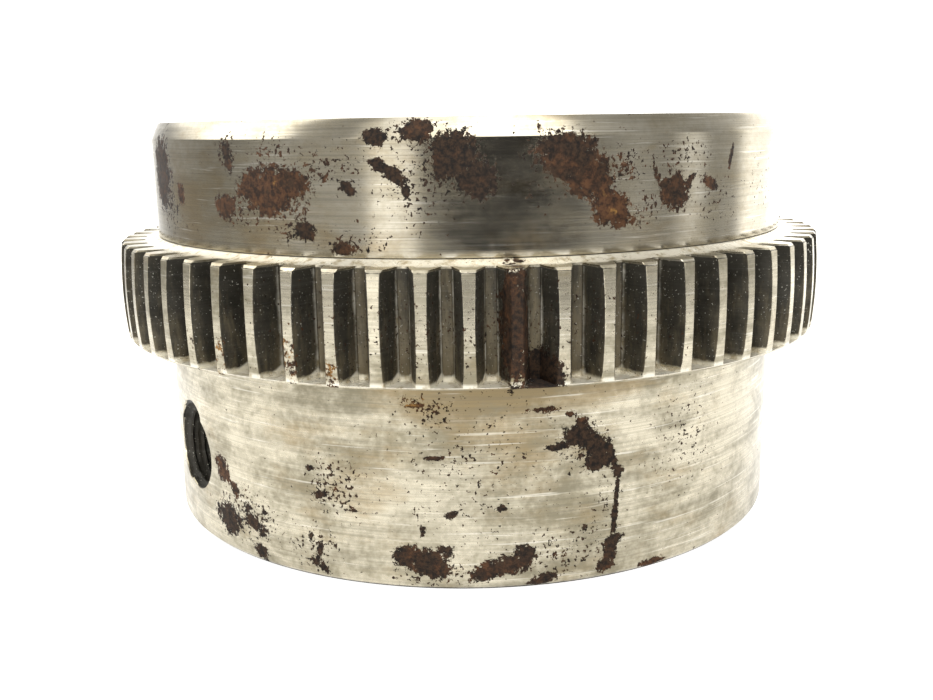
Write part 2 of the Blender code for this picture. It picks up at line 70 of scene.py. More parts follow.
# Outer ring, as in the part
SKIRT_RADIUS = 84.1 * MM
SKIRT_CHAMFER = 1.1 * MM
LIP_CREST_WIDTH = 1.8 * MM
LIP_CREST_OUTSIDE = 0.3 * MM
LIP_TO_TOOTH_ROOT = 0.6 * MM
LIP_CURVE = 1.5  # power by which the lip's outer side steepens as it rises
TOP_LAND_DROP = 0.4 * MM
COUNTERBORE_RADIUS = 74 * MM
COUNTERBORE_DEPTH = 7.8 * MM
UPPER_GROOVE_INNER = 73 * MM
UPPER_GROOVE_OUTER = 79.6 * MM
UPPER_GROOVE_DEPTH = 3 * MM
BASE_BOLT_COUNT = 8
BASE_BOLT_DEPTH = 18 * MM
BASE_THREAD = (3.4 * MM, 4.0 * MM, 1.25 * MM)  # minor radius, major radius, pitch

# Inner ring, as in the part
FLANGE_CHAMFER_HEIGHT = 4.1 * MM
FLANGE_CHAMFER_INSET = 1.8 * MM
FLANGE_LOWER_CHAMFER = 0.12 * MM
BORE_RADIUS = 48 * MM
BORE_CHAMFER = 1.5 * MM
INNER_RING_CHAMFER = 1 * MM
SEAM_GAP = 0.15 * MM
FLANGE_BOLT_COUNT = 8
FLANGE_BOLT_CIRCLE = 70 * MM
FLANGE_BOLT_DEPTH = 20 * MM
FLANGE_THREAD = (4.25 * MM, 5.0 * MM, 1.5 * MM)

# Ball row, as in the part
BALL_RADIUS = 8 * MM
BALL_COUNT = 22
BALL_CIRCLE_RADIUS = 68 * MM
HALF_RING_GAP = 2 * MM
RACEWAY_RADIUS = 8.4 * MM
CAGE_THICKNESS = 2.8 * MM
POCKET_RADIUS = 8.3 * MM

# Seals
SEAL_LIP = 1.2 * MM
SEAL_FIT = 0.3 * MM

# Port, an M20 thread
PORT_AZIMUTH = math.radians(-57.0)
PORT_HEIGHT = 21.6 * MM
PORT_THREAD = (8.65 * MM, 9.8 * MM, 2.5 * MM)
PORT_MOUTH_RADIUS = 10 * MM
PORT_LEAN = 4.4 * MM  # how far the mouth is drawn out on its far side from the viewer
PORT_LEAN_DEPTH = 7 * MM
PORT_LEAN_TURN = math.radians(118)

# Form of a thread's ridge
THREAD_STEEPNESS = 2.6
THREAD_FLAT = 0.6

# Filling plug, pin and nipples
PLUG_AZIMUTH = math.radians(135.0)
PLUG_RADIUS = 8.2 * MM
PLUG_FIT = 0.3 * MM
PLUG_EDGE = 0.4 * MM
PLUG_CENTRE = 0.02  # share of its radius at which each end face closes
PIN_CIRCLE = 54 * MM
PIN_RADIUS = 3 * MM
PIN_FIT = 0.3 * MM
PIN_ENGAGEMENT = 4.5 * MM
PIN_TAPER = 1 / 50
PIN_FOOT_CHAMFER = 0.3 * MM
PIN_TOP_CHAMFER = 0.4 * MM
PIN_TAP_RADIUS = 1.2 * MM
PIN_TAP_DEPTH = 6 * MM
PIN_TAP_CHAMFER = 0.2 * MM
NIPPLE_COUNT = 4
NIPPLE_STUB_RADIUS = 2.6 * MM
NIPPLE_STUB_LENGTH = 4.5 * MM
NIPPLE_HEX_RADIUS = 4 * MM
NIPPLE_HEX_HEIGHT = 2.5 * MM
NIPPLE_HEX_BEVEL = 0.4 * MM
NIPPLE_NECK_RADIUS = 1.7 * MM
NIPPLE_HEAD_LENGTH = 4.5 * MM
NIPPLE_CROWN_CENTRE = 1.02 * MM  # the head is rounded by an ellipse about this radius
NIPPLE_CROWN_WIDTH = 1.85 * MM
NIPPLE_CROWN_HEIGHT = 1.5 * MM
NIPPLE_VALVE_RADIUS = 0.5 * MM
NIPPLE_VALVE_RIM = 0.8 * MM
NIPPLE_VALVE_DEPTH = 0.4 * MM
GREASE_CHANNEL_RADIUS = 1.5 * MM

# Fineness of the meshes
FLANGE_SEGMENTS = 720
SEAL_SEGMENTS = 360
CAGE_SEGMENTS_PER_BALL = 12
WIDE_HOLE_SEGMENTS = 72
PLUG_SEGMENTS = 64
ROUND_SEGMENTS = 48
CHANNEL_SEGMENTS = 32
FLANGE_HOLE_SEGMENTS = 28
BASE_HOLE_SEGMENTS = 24
THREAD_STEPS = 6  # along each turn of a thread
PORT_THREAD_STEPS = 12
TOOTH_ROWS = 12
LIP_STEPS = 6
RACEWAY_STEPS = 11
ROW_SPACING = 1.5 * MM  # on the worn outer surfaces, whose points carry the wear and the painted reflection and shade
INSIDE_SPACING = 20 * MM
CORNER = 0.15 * MM  # rounding of a plain machined edge
LEAST_BEND = math.radians(12)  # gentler bends aren't rounded
CUT_PAST = 2 * MM
MERGE_DISTANCE = 0.001 * MM
SHARP_ANGLE = math.radians(28.0)

# From the frame and the sizes above
OUTER_LOW, OUTER_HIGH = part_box("outer_ring_gear")
INNER_LOW, INNER_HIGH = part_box("inner_ring")
TIP_RADIUS = (OUTER_HIGH.y - OUTER_LOW.y) / 2
LIP_CREST = OUTER_HIGH.z
FLANGE_RADIUS = (INNER_HIGH.x - INNER_LOW.x) / 2
TOTAL_HEIGHT = INNER_HIGH.z
INNER_FOOT = INNER_LOW.z
WORN_RADIUS = FLANGE_RADIUS - 3 * MM
PITCH_RADIUS = GEAR_MODULE * TEETH / 2
ROOT_RADIUS = PITCH_RADIUS - DEDENDUM * GEAR_MODULE
BASE_CIRCLE_RADIUS = PITCH_RADIUS * math.cos(PRESSURE_ANGLE)
TOOTH_PITCH = 2 * math.pi / TEETH
GEAR_TOP = GEAR_BOTTOM + GEAR_FACE
GEAR_MIDDLE = GEAR_BOTTOM + GEAR_FACE / 2
LEDGE_TOP = GEAR_BOTTOM + LEDGE_THICKNESS
TOP_LAND = GEAR_TOP - TOP_LAND_DROP
FLANGE_BOTTOM = LIP_CREST + SEAM_GAP
ROW_HEIGHT = GEAR_MIDDLE
OUTER_WALL = BALL_CIRCLE_RADIUS + HALF_RING_GAP
INNER_WALL = BALL_CIRCLE_RADIUS - HALF_RING_GAP
BASE_BOLT_CIRCLE = (COUNTERBORE_RADIUS + SKIRT_RADIUS) / 2

# Rust, placed one by one: azimuth in degrees, height, half width and half height in mm, lean of its
# long side in degrees, and its tone from 0, black-brown, to 1, orange.
FLANGE_RUST = [
    (-61, 91.5, 6.5, 8.5, 0, 0.22),
    (-52, 87, 1.6, 2.2, 10, 0.75),
    (-38, 96, 1.2, 3.4, 8, 0.35),
    (-39, 85, 3.6, 2.4, -15, 0.55),
    (-33, 90, 4.5, 3.2, 20, 0.5),
    (-30, 88.5, 7.0, 4.8, -8, 0.62),
    (-26, 90.5, 4.4, 3.0, -20, 0.5),
    (-24, 80.5, 2.4, 1.9, -25, 0.25),
    (-18, 77, 2.6, 1.3, 4, 0.35),
    (-14, 77, 0.8, 0.7, 0, 0.2),
    (-17, 89.5, 2.4, 1.0, -32, 0.12),
    (-12.5, 94.5, 2.2, 1.2, -20, 0.0),
    (-10, 92, 3.0, 1.4, -34, 0.0),
    (-8.4, 88.7, 0.8, 1.4, 0, 0.0),
    (-12.6, 99.6, 2.6, 1.7, 0, 0.08),
    (-7.0, 101.0, 3.0, 1.8, 0, 0.3),
    (-1.6, 95.2, 5.6, 4.4, 20, 0.1),
    (1.0, 91.5, 4.2, 4.4, 20, 0.12),
    (14.2, 95.3, 6.2, 4.8, -12, 0.3),
    (17.6, 90.5, 5.6, 4.6, -35, 0.45),
    (20.5, 84.6, 5.6, 3.6, -38, 0.62),
    (10, 101.6, 0.8, 0.7, 0, 0.6),
    (28, 91.5, 0.5, 2.8, 22, 0.3),
    (29.4, 89, 2.2, 0.6, -24, 0.3),
    (31.6, 87, 3.4, 4.0, 12, 0.38),
    (34.5, 89.5, 2.0, 1.0, 40, 0.38),
    (39, 88.5, 3.2, 1.1, -22, 0.38),
    (44, 94, 0.6, 3.2, -18, 0.3),
]
SKIRT_RUST = [
    (-46.3, 20.5, 2.6, 3.6, 28, 0.5),
    (-43.2, 16.6, 2.2, 1.3, -50, 0.4),
    (-45.5, 8.4, 4.6, 3.6, -20, 0.0),
    (-39.8, 13.6, 1.2, 0.9, -30, 0.0),
    (-38.6, 9.6, 2.6, 1.4, -24, 0.0),
    (-36.4, 7.8, 2.0, 1.3, 10, 0.0),
    (-35.6, 13.2, 1.7, 0.8, -40, 0.0),
    (-36.9, 3.0, 2.6, 1.8, -40, 0.0),
    (-26.2, 10.2, 0.9, 1.0, 0, 0.1),
    (-24.6, 7.6, 0.8, 2.2, -12, 0.1),
    (-25.4, 3.8, 2.2, 0.7, -8, 0.0),
    (-23.8, 2.4, 1.6, 0.8, -32, 0.0),
    (-25.8, 26.6, 1.2, 0.8, 10, 0.1),
    (-24.4, 20.6, 2.0, 0.9, 12, 0.05),
    (-19.4, 18.2, 2.6, 0.6, -10, 0.2),
    (-15.0, 18.2, 1.8, 0.4, 0, 0.1),
    (-21.8, 8.8, 0.4, 1.0, 20, 0.0),
    (-10.0, 8.0, 3.4, 2.2, 8, 0.22),
    (-6.6, 6.4, 4.6, 3.2, -16, 0.28),
    (-3.8, 9.6, 2.0, 1.1, -10, 0.2),
    (2.6, 4.8, 4.2, 2.0, 10, 0.3),
    (5.8, 5.6, 4.2, 2.3, 14, 0.28),
    (8.0, 8.4, 2.0, 2.2, 45, 0.15),
    (-8.2, 43.4, 2.8, 0.8, -6, 0.75),
    (-5.9, 42.4, 1.2, 0.7, -30, 0.3),
    (-5.2, 30.8, 3.2, 0.55, -9, 0.25),
    (-3.2, 18.0, 1.8, 0.8, 24, 0.0),
    (-8.4, 17.6, 0.25, 2.4, 20, 0.5),
    (-7.6, 14.2, 0.7, 0.8, 0, 0.05),
    (11.0, 41.2, 3.2, 0.7, -4, 0.5),
    (15.7, 39.4, 3.0, 0.6, -24, 0.6),
    (16.9, 34.4, 4.2, 2.6, -14, 0.16),
    (13.0, 32.6, 2.6, 0.9, 4, 0.1),
    (19.3, 32.0, 4.4, 2.8, -46, 0.12),
    (19.7, 28.2, 3.6, 1.8, 10, 0.12),
    (21.9, 30.0, 0.7, 4.6, 16, 0.1),
    (22.9, 25.6, 1.3, 1.6, 0, 0.05),
    (22.9, 21.4, 0.5, 3.4, -4, 0.1),
    (22.5, 14.6, 0.7, 4.4, -3, 0.14),
    (21.9, 9.2, 2.6, 1.1, 14, 0.14),
    (21.7, 6.0, 2.0, 1.6, 50, 0.22),
    (20.9, 3.4, 2.2, 1.2, 8, 0.3),
    (10.8, 2.0, 3.4, 1.2, 8, 0.22),
    (29.8, 1.6, 3.6, 1.0, 4, 0.45),
    (4.4, 19.6, 1.3, 0.8, 8, 0.0),
    (17.3, 12.8, 0.9, 0.8, 0, 0.0),
]
GEAR_RUST = [
    (5.81, 61.5, 2.6, 12.6, 0, 0.30),
    (9.2, 51.5, 3.6, 4.2, 0, 0.05),
    (-40.6, 54, 0.9, 4, 0, 0.8),
    (-34.8, 53, 0.9, 5, 0, 0.85),
    (-34.8, 66, 0.5, 2, 0, 0.2),
    (-23.2, 54, 1.0, 5.5, 0, 0.85),
    (-17.4, 52, 1.0, 4, 0, 0.85),
    (-17.4, 66, 0.5, 3, 0, 0.6),
    (-29.0, 65, 0.6, 3, 0, 0.1),
    (-11.6, 53, 0.6, 2.5, 0, 0.5),
    (11.6, 66, 0.5, 2.6, 0, 0.35),
    (17.4, 61, 0.5, 3.0, 0, 0.3),
    (29.0, 62, 0.6, 3.4, 0, 0.2),
    (23.2, 55, 0.5, 2.4, 0, 0.2),
    (34.8, 57, 0.5, 2.4, 0, 0.3),
]
# Scattered specks: azimuth, height, half width, half height, density from 0 to 1
SPECKS = [
    (-38, 97, 5, 6, 0.85), (-29, 97, 9, 5, 0.75), (-22, 93, 11, 6, 0.75),
    (-17, 93, 6, 7, 0.7), (-34, 84, 12, 6, 0.7), (-27, 81, 7, 6, 0.75),
    (-7, 100.5, 10, 4, 1.0), (-16, 78, 12, 4, 0.7), (-6, 90, 14, 12, 0.6),
    (12, 92, 12, 10, 0.6), (23, 93, 8, 6, 0.75), (27, 84, 5, 7, 0.7),
    (33, 95, 14, 5, 0.7), (40, 84, 12, 9, 0.5), (55, 88, 14, 11, 0.3),
    (-56, 84, 11, 12, 0.65), (-22, 23, 10, 11, 0.75), (-40, 11, 16, 10, 0.8),
    (-26, 8, 10, 8, 0.65), (-6, 41, 8, 6, 0.75), (15, 8, 18, 9, 0.6),
    (-6, 4, 14, 6, 0.7), (21, 18, 6, 18, 0.5), (17, 32, 9, 8, 0.7),
    (36, 30, 16, 18, 0.5), (0, 30, 40, 26, 0.35), (0, 61, 70, 15, 0.42),
]
# Stains and painted reflection on the steel: azimuth, height, half width, half height, strength. A positive
# one darkens the steel, partly real stains and partly painted shade; a negative one is bright metal, a
# painted highlight.
STAINS_AND_REFLECTIONS = [
    (-52, 86, 26, 13, 0.9), (-34, 79, 26, 6, 0.8), (28, 79, 20, 5, 0.6),
    (2, 46, 34, 17, 1.25), (8, 47, 12, 5, 0.8), (26, 45, 14, 4, 0.7),
    (-14, 30, 14, 12, 0.4), (12, 30, 14, 12, 0.4), (27, 33, 10, 6, -0.9),
    (24, 17, 9, 5, -0.6), (0, 61.5, 110, 15, -1.1), (-42, 24, 18, 26, -0.7),
    (46, 30, 20, 26, -0.7), (2, 10, 26, 8, -0.3),
]

UNSEEN_PATCHES = 26  # rust patches on the far side of each ring
UNSEEN_AZIMUTHS = (70, 290)  # degrees

# Darkening, grease and painted shade on the gear. The profiles run from a tooth's tip, 0, to its root, 1.
FLANK_DARKENING = ((0.0, 0.4, 0.8, 0.93, 1.0), (0.75, 1.0, 1.2, 0.55, 0.2))
FLANK_DARKENING_RISE = 0.8  # how much darker a space is at its top than at its foot
# Painted shade: how black the inside of the port and the line along the foot are made
PAINTED_SHADE_DARKNESS = 1.6
GREASE_PROFILE = ((0.61, 0.925, 0.98, 1.0), (0.0, 0.70, 0.45, 0.25))
FACE_MARGIN = 0.3 * MM
REACH_MARGIN = 0.1 * MM

# Colours, linear RGB
GEAR_STEEL = ((0.64, 0.585, 0.455), (0.27, 0.24, 0.165))  # clean and dull
FLANGE_STEEL = ((0.57, 0.53, 0.435), (0.40, 0.355, 0.26))
YELLOWING = (0.33, 0.235, 0.11)
TURNING_LINE = (0.16, 0.15, 0.12)
BRIGHT_SCRATCH = (0.90, 0.86, 0.76)
DIRT_AND_SHADE = ((0.002, 0.002, 0.002), (0.13, 0.104, 0.060))  # black and olive; the black is painted shade in the port and along the foot, and darkens the tooth flanks
DUST = (0.62, 0.60, 0.52)
GREASE = ((0.90, 0.86, 0.74), (0.40, 0.32, 0.18))  # pale and old
BROWN_RUST = ((0.006, 0.004, 0.003), (0.042, 0.023, 0.012))
RED_RUST = ((0.018, 0.009, 0.005), (0.090, 0.040, 0.017))
ORANGE_RUST = (0.30, 0.155, 0.042)
BALL_STEEL = (0.78, 0.78, 0.79)
PLUG_STEEL = (0.50, 0.48, 0.44)
PIN_STEEL = (0.56, 0.55, 0.53)
STEEL_MARK = (0.10, 0.09, 0.07)
BRASS = ((0.74, 0.53, 0.22), (0.42, 0.28, 0.10))
BRASS_LINE = (0.20, 0.13, 0.05)
RUBBER = ((0.018, 0.018, 0.018), (0.06, 0.058, 0.052))
ZINC = ((0.78, 0.70, 0.42), (0.62, 0.55, 0.50))
TABLE_WHITE = ((0.42, 0.42, 0.415), (0.40, 0.40, 0.395))

# Camera, from the view of the object
CAMERA_PLACE = (0.3 * MM, -295.7 * MM, 101.6 * MM)
CAMERA_PITCH = math.radians(12.36)  # downwards
CAMERA_YAW = math.radians(0.27)
CAMERA_ROLL = math.radians(-0.94)
CAMERA_LENS = 39.37
CAMERA_SENSOR = 36

# Light: brightness of the studio by azimuth in degrees, near the horizon and higher up
WALL_LIGHT = [
    (-180, 1.8), (-162, 1.5), (-148, 0.9), (-132, 0.52), (-90, 0.36), (-62, 0.56),
    (-36, 0.62), (-30, 1.9), (-20, 1.7), (-14, 0.3), (-3, 0.05), (26, 0.05),
    (36, 0.15), (44, 0.4), (58, 0.55), (71, 0.44), (82, 1.1), (93, 0.5),
    (104, 0.65), (114, 2.2), (180, 2.8),
]
UPPER_LIGHT = [
    (-180, 3.0), (-118, 2.6), (-100, 3.4), (-78, 3.4), (-66, 0.6), (-46, 0.45),
    (-38, 1.6), (-9, 3.0), (0, 3.6), (36, 3.6), (48, 0.7), (70, 0.5),
    (95, 0.5), (118, 0.8), (140, 3.0), (180, 3.0),
]
UPPER_BAND = (math.radians(11), math.radians(24))  # elevations between which it takes over
SKY_LIGHT = 1.7
SKY_BAND = (math.radians(55), math.radians(75))
BACKDROP_LIGHT = 2.2
LIGHT_TINT = (1.0, 0.99, 0.965, 1.0)
FLOOR_REACH = 0.45
FLOOR_SEGMENTS = 96
FLOOR_DROP = 0.05 * MM
FLOOR_GLOW = 0.88


# Shapes


def direction(azimuth):
    """Unit vector away from the axis at an azimuth."""
    return Vector((math.sin(azimuth), -math.cos(azimuth), 0.0))


def loop_points(radius, azimuths, z):
    """One closed loop round the axis: radius and z are numbers or one value for each azimuth."""
    radius = np.broadcast_to(radius, azimuths.shape)
    z = np.broadcast_to(z, azimuths.shape)
    return np.stack((radius * np.sin(azimuths), -radius * np.cos(azimuths), z), axis=1)


def even_azimuths(count, first=0.0):
    return first + np.arange(count) * 2 * math.pi / count


def nth_azimuth(i, count):
    """Azimuth of the i-th of evenly spaced features, the first being half a space past 0."""
    return (i + 0.5) * 2 * math.pi / count


def nipple_azimuth(i):
    return i * 2 * math.pi / NIPPLE_COUNT


def softened(outline, size=CORNER, closed=False):
    """The outline with each clear corner replaced by a short curve."""
    made = []
    count = len(outline)
    for i, corner in enumerate(outline):
        corner = np.array(corner)
        if not closed and i in (0, count - 1):
            made.append(tuple(corner))
            continue
        back = np.array(outline[i - 1]) - corner
        ahead = np.array(outline[(i + 1) % count]) - corner
        back_length = np.linalg.norm(back)
        ahead_length = np.linalg.norm(ahead)
        straightness = -(back @ ahead) / (back_length * ahead_length)
        reach = min(size, back_length / 3, ahead_length / 3)
        if straightness > math.cos(LEAST_BEND):
            made.append(tuple(corner))
            continue
        start = corner + back / back_length * reach
        end = corner + ahead / ahead_length * reach
        made += [tuple(start), tuple((start + 2 * corner + end) / 4), tuple(end)]
    return made


def dense(outline, closed=False):
    """The outline with its long stretches divided, finely on the worn outer surfaces and coarsely inside."""
    made = []
    count = len(outline)
    for i in range(count if closed else count - 1):
        a = np.array(outline[i])
        b = np.array(outline[(i + 1) % count])
        step = ROW_SPACING if min(a[0], b[0]) > WORN_RADIUS else INSIDE_SPACING
        steps = max(1, round(np.linalg.norm(b - a) / step))
        made += [tuple(a + (b - a) * k / steps) for k in range(steps)]
    if not closed:
        made.append(tuple(outline[-1]))
    return made


def add_object(name, mesh):
    thing = bpy.data.objects.new(name, mesh)
    bpy.context.scene.collection.objects.link(thing)
    return thing


def settle(mesh):
    """Merge points that coincide, turn faces outwards and shade round surfaces smoothly."""
    bm = bmesh.new()
    bm.from_mesh(mesh)
    bmesh.ops.remove_doubles(bm, verts=bm.verts, dist=MERGE_DISTANCE)
    bmesh.ops.dissolve_degenerate(bm, edges=bm.edges, dist=MERGE_DISTANCE)
    bmesh.ops.recalc_face_normals(bm, faces=bm.faces)
    bm.to_mesh(mesh)
    bm.free()
    mesh.shade_smooth()
    mesh.set_sharp_from_angle(angle=SHARP_ANGLE)


def skinned(name, loops, closed=True):
    """A solid through loops of points: a ring if closed, or else a bar with flat ends."""
    count = len(loops[0])
    points = np.concatenate(loops)
    here = np.arange(count)
    after = (here + 1) % count
    faces = []
    for row in range(len(loops) if closed else len(loops) - 1):
        low = row * count
        high = (row + 1) % len(loops) * count
        faces += np.stack((low + here, low + after, high + after, high + here), axis=1).tolist()
    if not closed:
        faces += [here.tolist(), (here + (len(loops) - 1) * count).tolist()]
    mesh = bpy.data.meshes.new(name)
    mesh.from_pydata(points.tolist(), [], faces)
    settle(mesh)
    return add_object(name, mesh)


def turned(name, outline, segments):
    """A closed (radius, z) outline turned round the axis."""
    azimuths = even_azimuths(segments)
    return skinned(name, [loop_points(radius, azimuths, z) for radius, z in outline])


def bar(name, stations, segments):
    """A bar along its own +Z from (radius, z) stations."""
    azimuths = even_azimuths(segments)
    return skinned(name, [loop_points(radius, azimuths, z) for radius, z in stations], closed=False)


def thread_cutter(name, thread, start, end, mouth, segments, turn_steps=THREAD_STEPS, lean=None):
    """A bar with a screw thread from start to end, opening as a cone at a mouth of (radius, z).

    A lean of (azimuth, reach, depth) draws the mouth out to one side.
    """
    minor, major, pitch = thread
    mouth_radius, mouth_z = mouth
    azimuths = even_azimuths(segments)
    heights = np.linspace(start, end, round(turn_steps * (end - start) / pitch))
    loops = []
    for z in heights:
        phase = (z / pitch - azimuths / (2 * math.pi)) % 1.0
        ridge = np.clip(THREAD_STEEPNESS * (1 - np.abs(2 * phase - 1)) - THREAD_FLAT, 0.0, 1.0)
        radius = minor + (major - minor) * ridge
        radius = np.maximum(radius, mouth_radius - abs(mouth_z - z))
        if lean is not None:
            side, reach, depth = lean
            share = np.clip(1 - (mouth_z - z) / depth, 0.0, 1.0)
            radius = radius + reach * share * np.sqrt(np.clip(np.cos(azimuths - side), 0.0, 1.0))
        loops.append(loop_points(radius, azimuths, z))
    return skinned(name, loops, closed=False)


def aim_outwards(thing, azimuth, z):
    """Lay a bar along a radius, its own +Z away from the axis, and keep that in its mesh."""
    across = Vector((0.0, 0.0, 1.0)).rotation_difference(direction(azimuth))
    thing.data.transform(Matrix.Translation((0.0, 0.0, z)) @ across.to_matrix().to_4x4())
    return thing


def shift(thing, radius, azimuth, z):
    spot = direction(azimuth) * radius
    thing.data.transform(Matrix.Translation((spot.x, spot.y, z)))
    return thing


def joined(name, things):
    """One object from several separate solids."""
    bm = bmesh.new()
    for thing in things:
        bm.from_mesh(thing.data)
        bpy.data.objects.remove(thing)
    mesh = bpy.data.meshes.new(name)
    bm.to_mesh(mesh)
    bm.free()
    return add_object(name, mesh)


def carve(thing, cutters):
    """Subtract solids from a piece and keep the result as its mesh."""
    cutter = joined("cutter", cutters)
    change = thing.modifiers.new("cut", "BOOLEAN")
    change.operation = "DIFFERENCE"
    change.solver = "EXACT"
    change.object = cutter
    graph = bpy.context.evaluated_depsgraph_get()
    mesh = bpy.data.meshes.new_from_object(thing.evaluated_get(graph))
    thing.modifiers.clear()
    thing.data = mesh
    mesh.name = thing.name
    bpy.data.objects.remove(cutter)
    settle(mesh)


def half_tooth_angle(radius):
    """Half the angle that an involute tooth fills at a radius."""
    at_pitch = math.tan(PRESSURE_ANGLE) - PRESSURE_ANGLE
    slope = math.acos(BASE_CIRCLE_RADIUS / radius)
    return TOOTH_PITCH / 4 + at_pitch - (math.tan(slope) - slope)


def tip_radius_at(z):
    """The tips are crowned: an arc that falls by CROWN_DROP at each end of the face."""
    share = (z - GEAR_MIDDLE) / (GEAR_FACE / 2)
    return TIP_RADIUS - CROWN_DROP * share * share


def half_tooth(tip_radius):
    """(radius, angle from the tooth's centre) from mid space to the edge of the tip land."""
    foot_angle = half_tooth_angle(ROOT_RADIUS)
    fillet_top = ROOT_RADIUS + ROOT_FILLET
    land_end = foot_angle + ROOT_FILLET / ROOT_RADIUS
    on_flank = half_tooth_angle(fillet_top)
    points = [(ROOT_RADIUS, TOOTH_PITCH / 2), (ROOT_RADIUS, land_end)]
    middle_angle = (land_end + 2 * foot_angle + on_flank) / 4
    points.append((ROOT_RADIUS + ROOT_FILLET / 4, middle_angle))
    points.append((fillet_top, on_flank))
    middle = (fillet_top + tip_radius) / 2
    points.append((middle, half_tooth_angle(middle)))
    flank_top = tip_radius - TIP_EDGE
    points.append((flank_top, half_tooth_angle(flank_top)))
    points.append((tip_radius, half_tooth_angle(tip_radius) - TIP_EDGE / tip_radius))
    return points


def tooth_outline(tip_radius):
    """Radii and azimuths of the whole toothed loop."""
    half = half_tooth(tip_radius)
    one = [(radius, -angle) for radius, angle in half]
    one += [(radius, angle) for radius, angle in reversed(half[1:])]
    radii = np.tile([radius for radius, _ in one], TEETH)
    angles = np.tile([angle for _, angle in one], TEETH)
    centres = np.repeat(np.arange(TEETH) * TOOTH_PITCH, len(one))
    return radii, centres + angles


def tooth_loops():
    """The ledge's rim, then the toothed wall up to the bevelled tooth ends."""
    land_top = GEAR_TOP - TOOTH_END_CHAMFER
    heights = np.linspace(LEDGE_TOP, land_top, TOOTH_ROWS)
    rim_radius = tip_radius_at(LEDGE_TOP)
    _, rim_azimuths = tooth_outline(rim_radius)
    loops = [loop_points(rim_radius, rim_azimuths, LEDGE_TOP)]
    for z in heights:
        radii, azimuths = tooth_outline(tip_radius_at(z))
        loops.append(loop_points(radii, azimuths, z))
    low_tip = tip_radius_at(land_top)
    for share in (0.12, 0.88):
        radii, azimuths = tooth_outline(low_tip - share * TOOTH_END_INSET)
        loops.append(loop_points(radii, azimuths, land_top + share * (TOOTH_END_CHAMFER - TIP_EDGE / 2)))
    radii, azimuths = tooth_outline(low_tip - TOOTH_END_INSET - TIP_EDGE / 2)
    loops.append(loop_points(radii, azimuths, GEAR_TOP))
    return loops


def raceway(side):
    """(radius, z) points of a ball groove, upwards: side is +1 for the outer ring and -1 for the inner."""
    reach = math.acos(HALF_RING_GAP / RACEWAY_RADIUS)
    points = []
    for i in range(RACEWAY_STEPS + 1):
        angle = reach * (2 * i / RACEWAY_STEPS - 1)
        radius = BALL_CIRCLE_RADIUS + side * RACEWAY_RADIUS * math.cos(angle)
        points.append((radius, ROW_HEIGHT + RACEWAY_RADIUS * math.sin(angle)))
    return points


def lip_outlines():
    """From the teeth's upper face over the lip, and on over the lands and the seal groove."""
    crest_outer = FLANGE_RADIUS + LIP_CREST_OUTSIDE
    crest_inner = crest_outer - LIP_CREST_WIDTH
    foot = ROOT_RADIUS - LIP_TO_TOOTH_ROOT
    rise = LIP_CREST - GEAR_TOP
    lip = []
    for i in range(LIP_STEPS + 1):
        share = i / LIP_STEPS
        lip.append((foot - (foot - crest_outer) * share, GEAR_TOP + rise * share**LIP_CURVE))
    lip += [(crest_inner, LIP_CREST), (crest_inner, TOP_LAND)]
    groove_floor = TOP_LAND - UPPER_GROOVE_DEPTH
    groove = [(UPPER_GROOVE_OUTER, TOP_LAND), (UPPER_GROOVE_OUTER, groove_floor)]
    groove += [(UPPER_GROOVE_INNER, groove_floor), (UPPER_GROOVE_INNER, TOP_LAND), (OUTER_WALL, TOP_LAND)]
    return lip, groove


def outer_ring():
    """The geared outer ring, with its tapped port and base holes."""
    spokes = len(tooth_outline(TIP_RADIUS)[0])
    azimuths = even_azimuths(spokes, -TOOTH_PITCH / 2)
    rim_foot = tip_radius_at(LEDGE_TOP) - LEDGE_CHAMFER
    skirt = [(COUNTERBORE_RADIUS, 0.0), (SKIRT_RADIUS - SKIRT_CHAMFER, 0.0)]
    skirt += [(SKIRT_RADIUS, SKIRT_CHAMFER), (SKIRT_RADIUS, GEAR_BOTTOM), (rim_foot, GEAR_BOTTOM)]
    loops = [loop_points(radius, azimuths, z) for radius, z in dense(softened(skirt, 2 * CORNER))[1:]]
    loops += tooth_loops()
    lip, groove = lip_outlines()
    inside = softened(lip) + groove + raceway(1)[::-1]
    inside += [(OUTER_WALL, COUNTERBORE_DEPTH), (COUNTERBORE_RADIUS, COUNTERBORE_DEPTH)]
    inside.append((COUNTERBORE_RADIUS, 0.0))
    loops += [loop_points(radius, azimuths, z) for radius, z in dense(inside)]
    ring = skinned("geared_outer_ring", loops)
    mouth = (PORT_MOUTH_RADIUS, SKIRT_RADIUS)
    lean = (PORT_AZIMUTH - PORT_LEAN_TURN, PORT_LEAN, PORT_LEAN_DEPTH)
    fineness = (WIDE_HOLE_SEGMENTS, PORT_THREAD_STEPS)
    start, end = OUTER_WALL - CUT_PAST, SKIRT_RADIUS + CUT_PAST
    port = thread_cutter("port", PORT_THREAD, start, end, mouth, *fineness, lean)
    cutters = [aim_outwards(port, PORT_AZIMUTH, PORT_HEIGHT)]
    for i in range(BASE_BOLT_COUNT):
        mouth = (BASE_THREAD[1] + CORNER, 0.0)
        ends = (-CUT_PAST, BASE_BOLT_DEPTH)
        hole = thread_cutter(f"base_hole_{i}", BASE_THREAD, *ends, mouth, BASE_HOLE_SEGMENTS)
        cutters.append(shift(hole, BASE_BOLT_CIRCLE, PORT_AZIMUTH + nth_azimuth(i, BASE_BOLT_COUNT), 0.0))
    carve(ring, cutters)
    return ring


def pin_hole(name, low, high):
    """A cutter for the taper pin's hole."""
    radius = PIN_RADIUS + PIN_FIT
    return shift(bar(name, [(radius, low), (radius, high)], ROUND_SEGMENTS), PIN_CIRCLE, PLUG_AZIMUTH, 0.0)


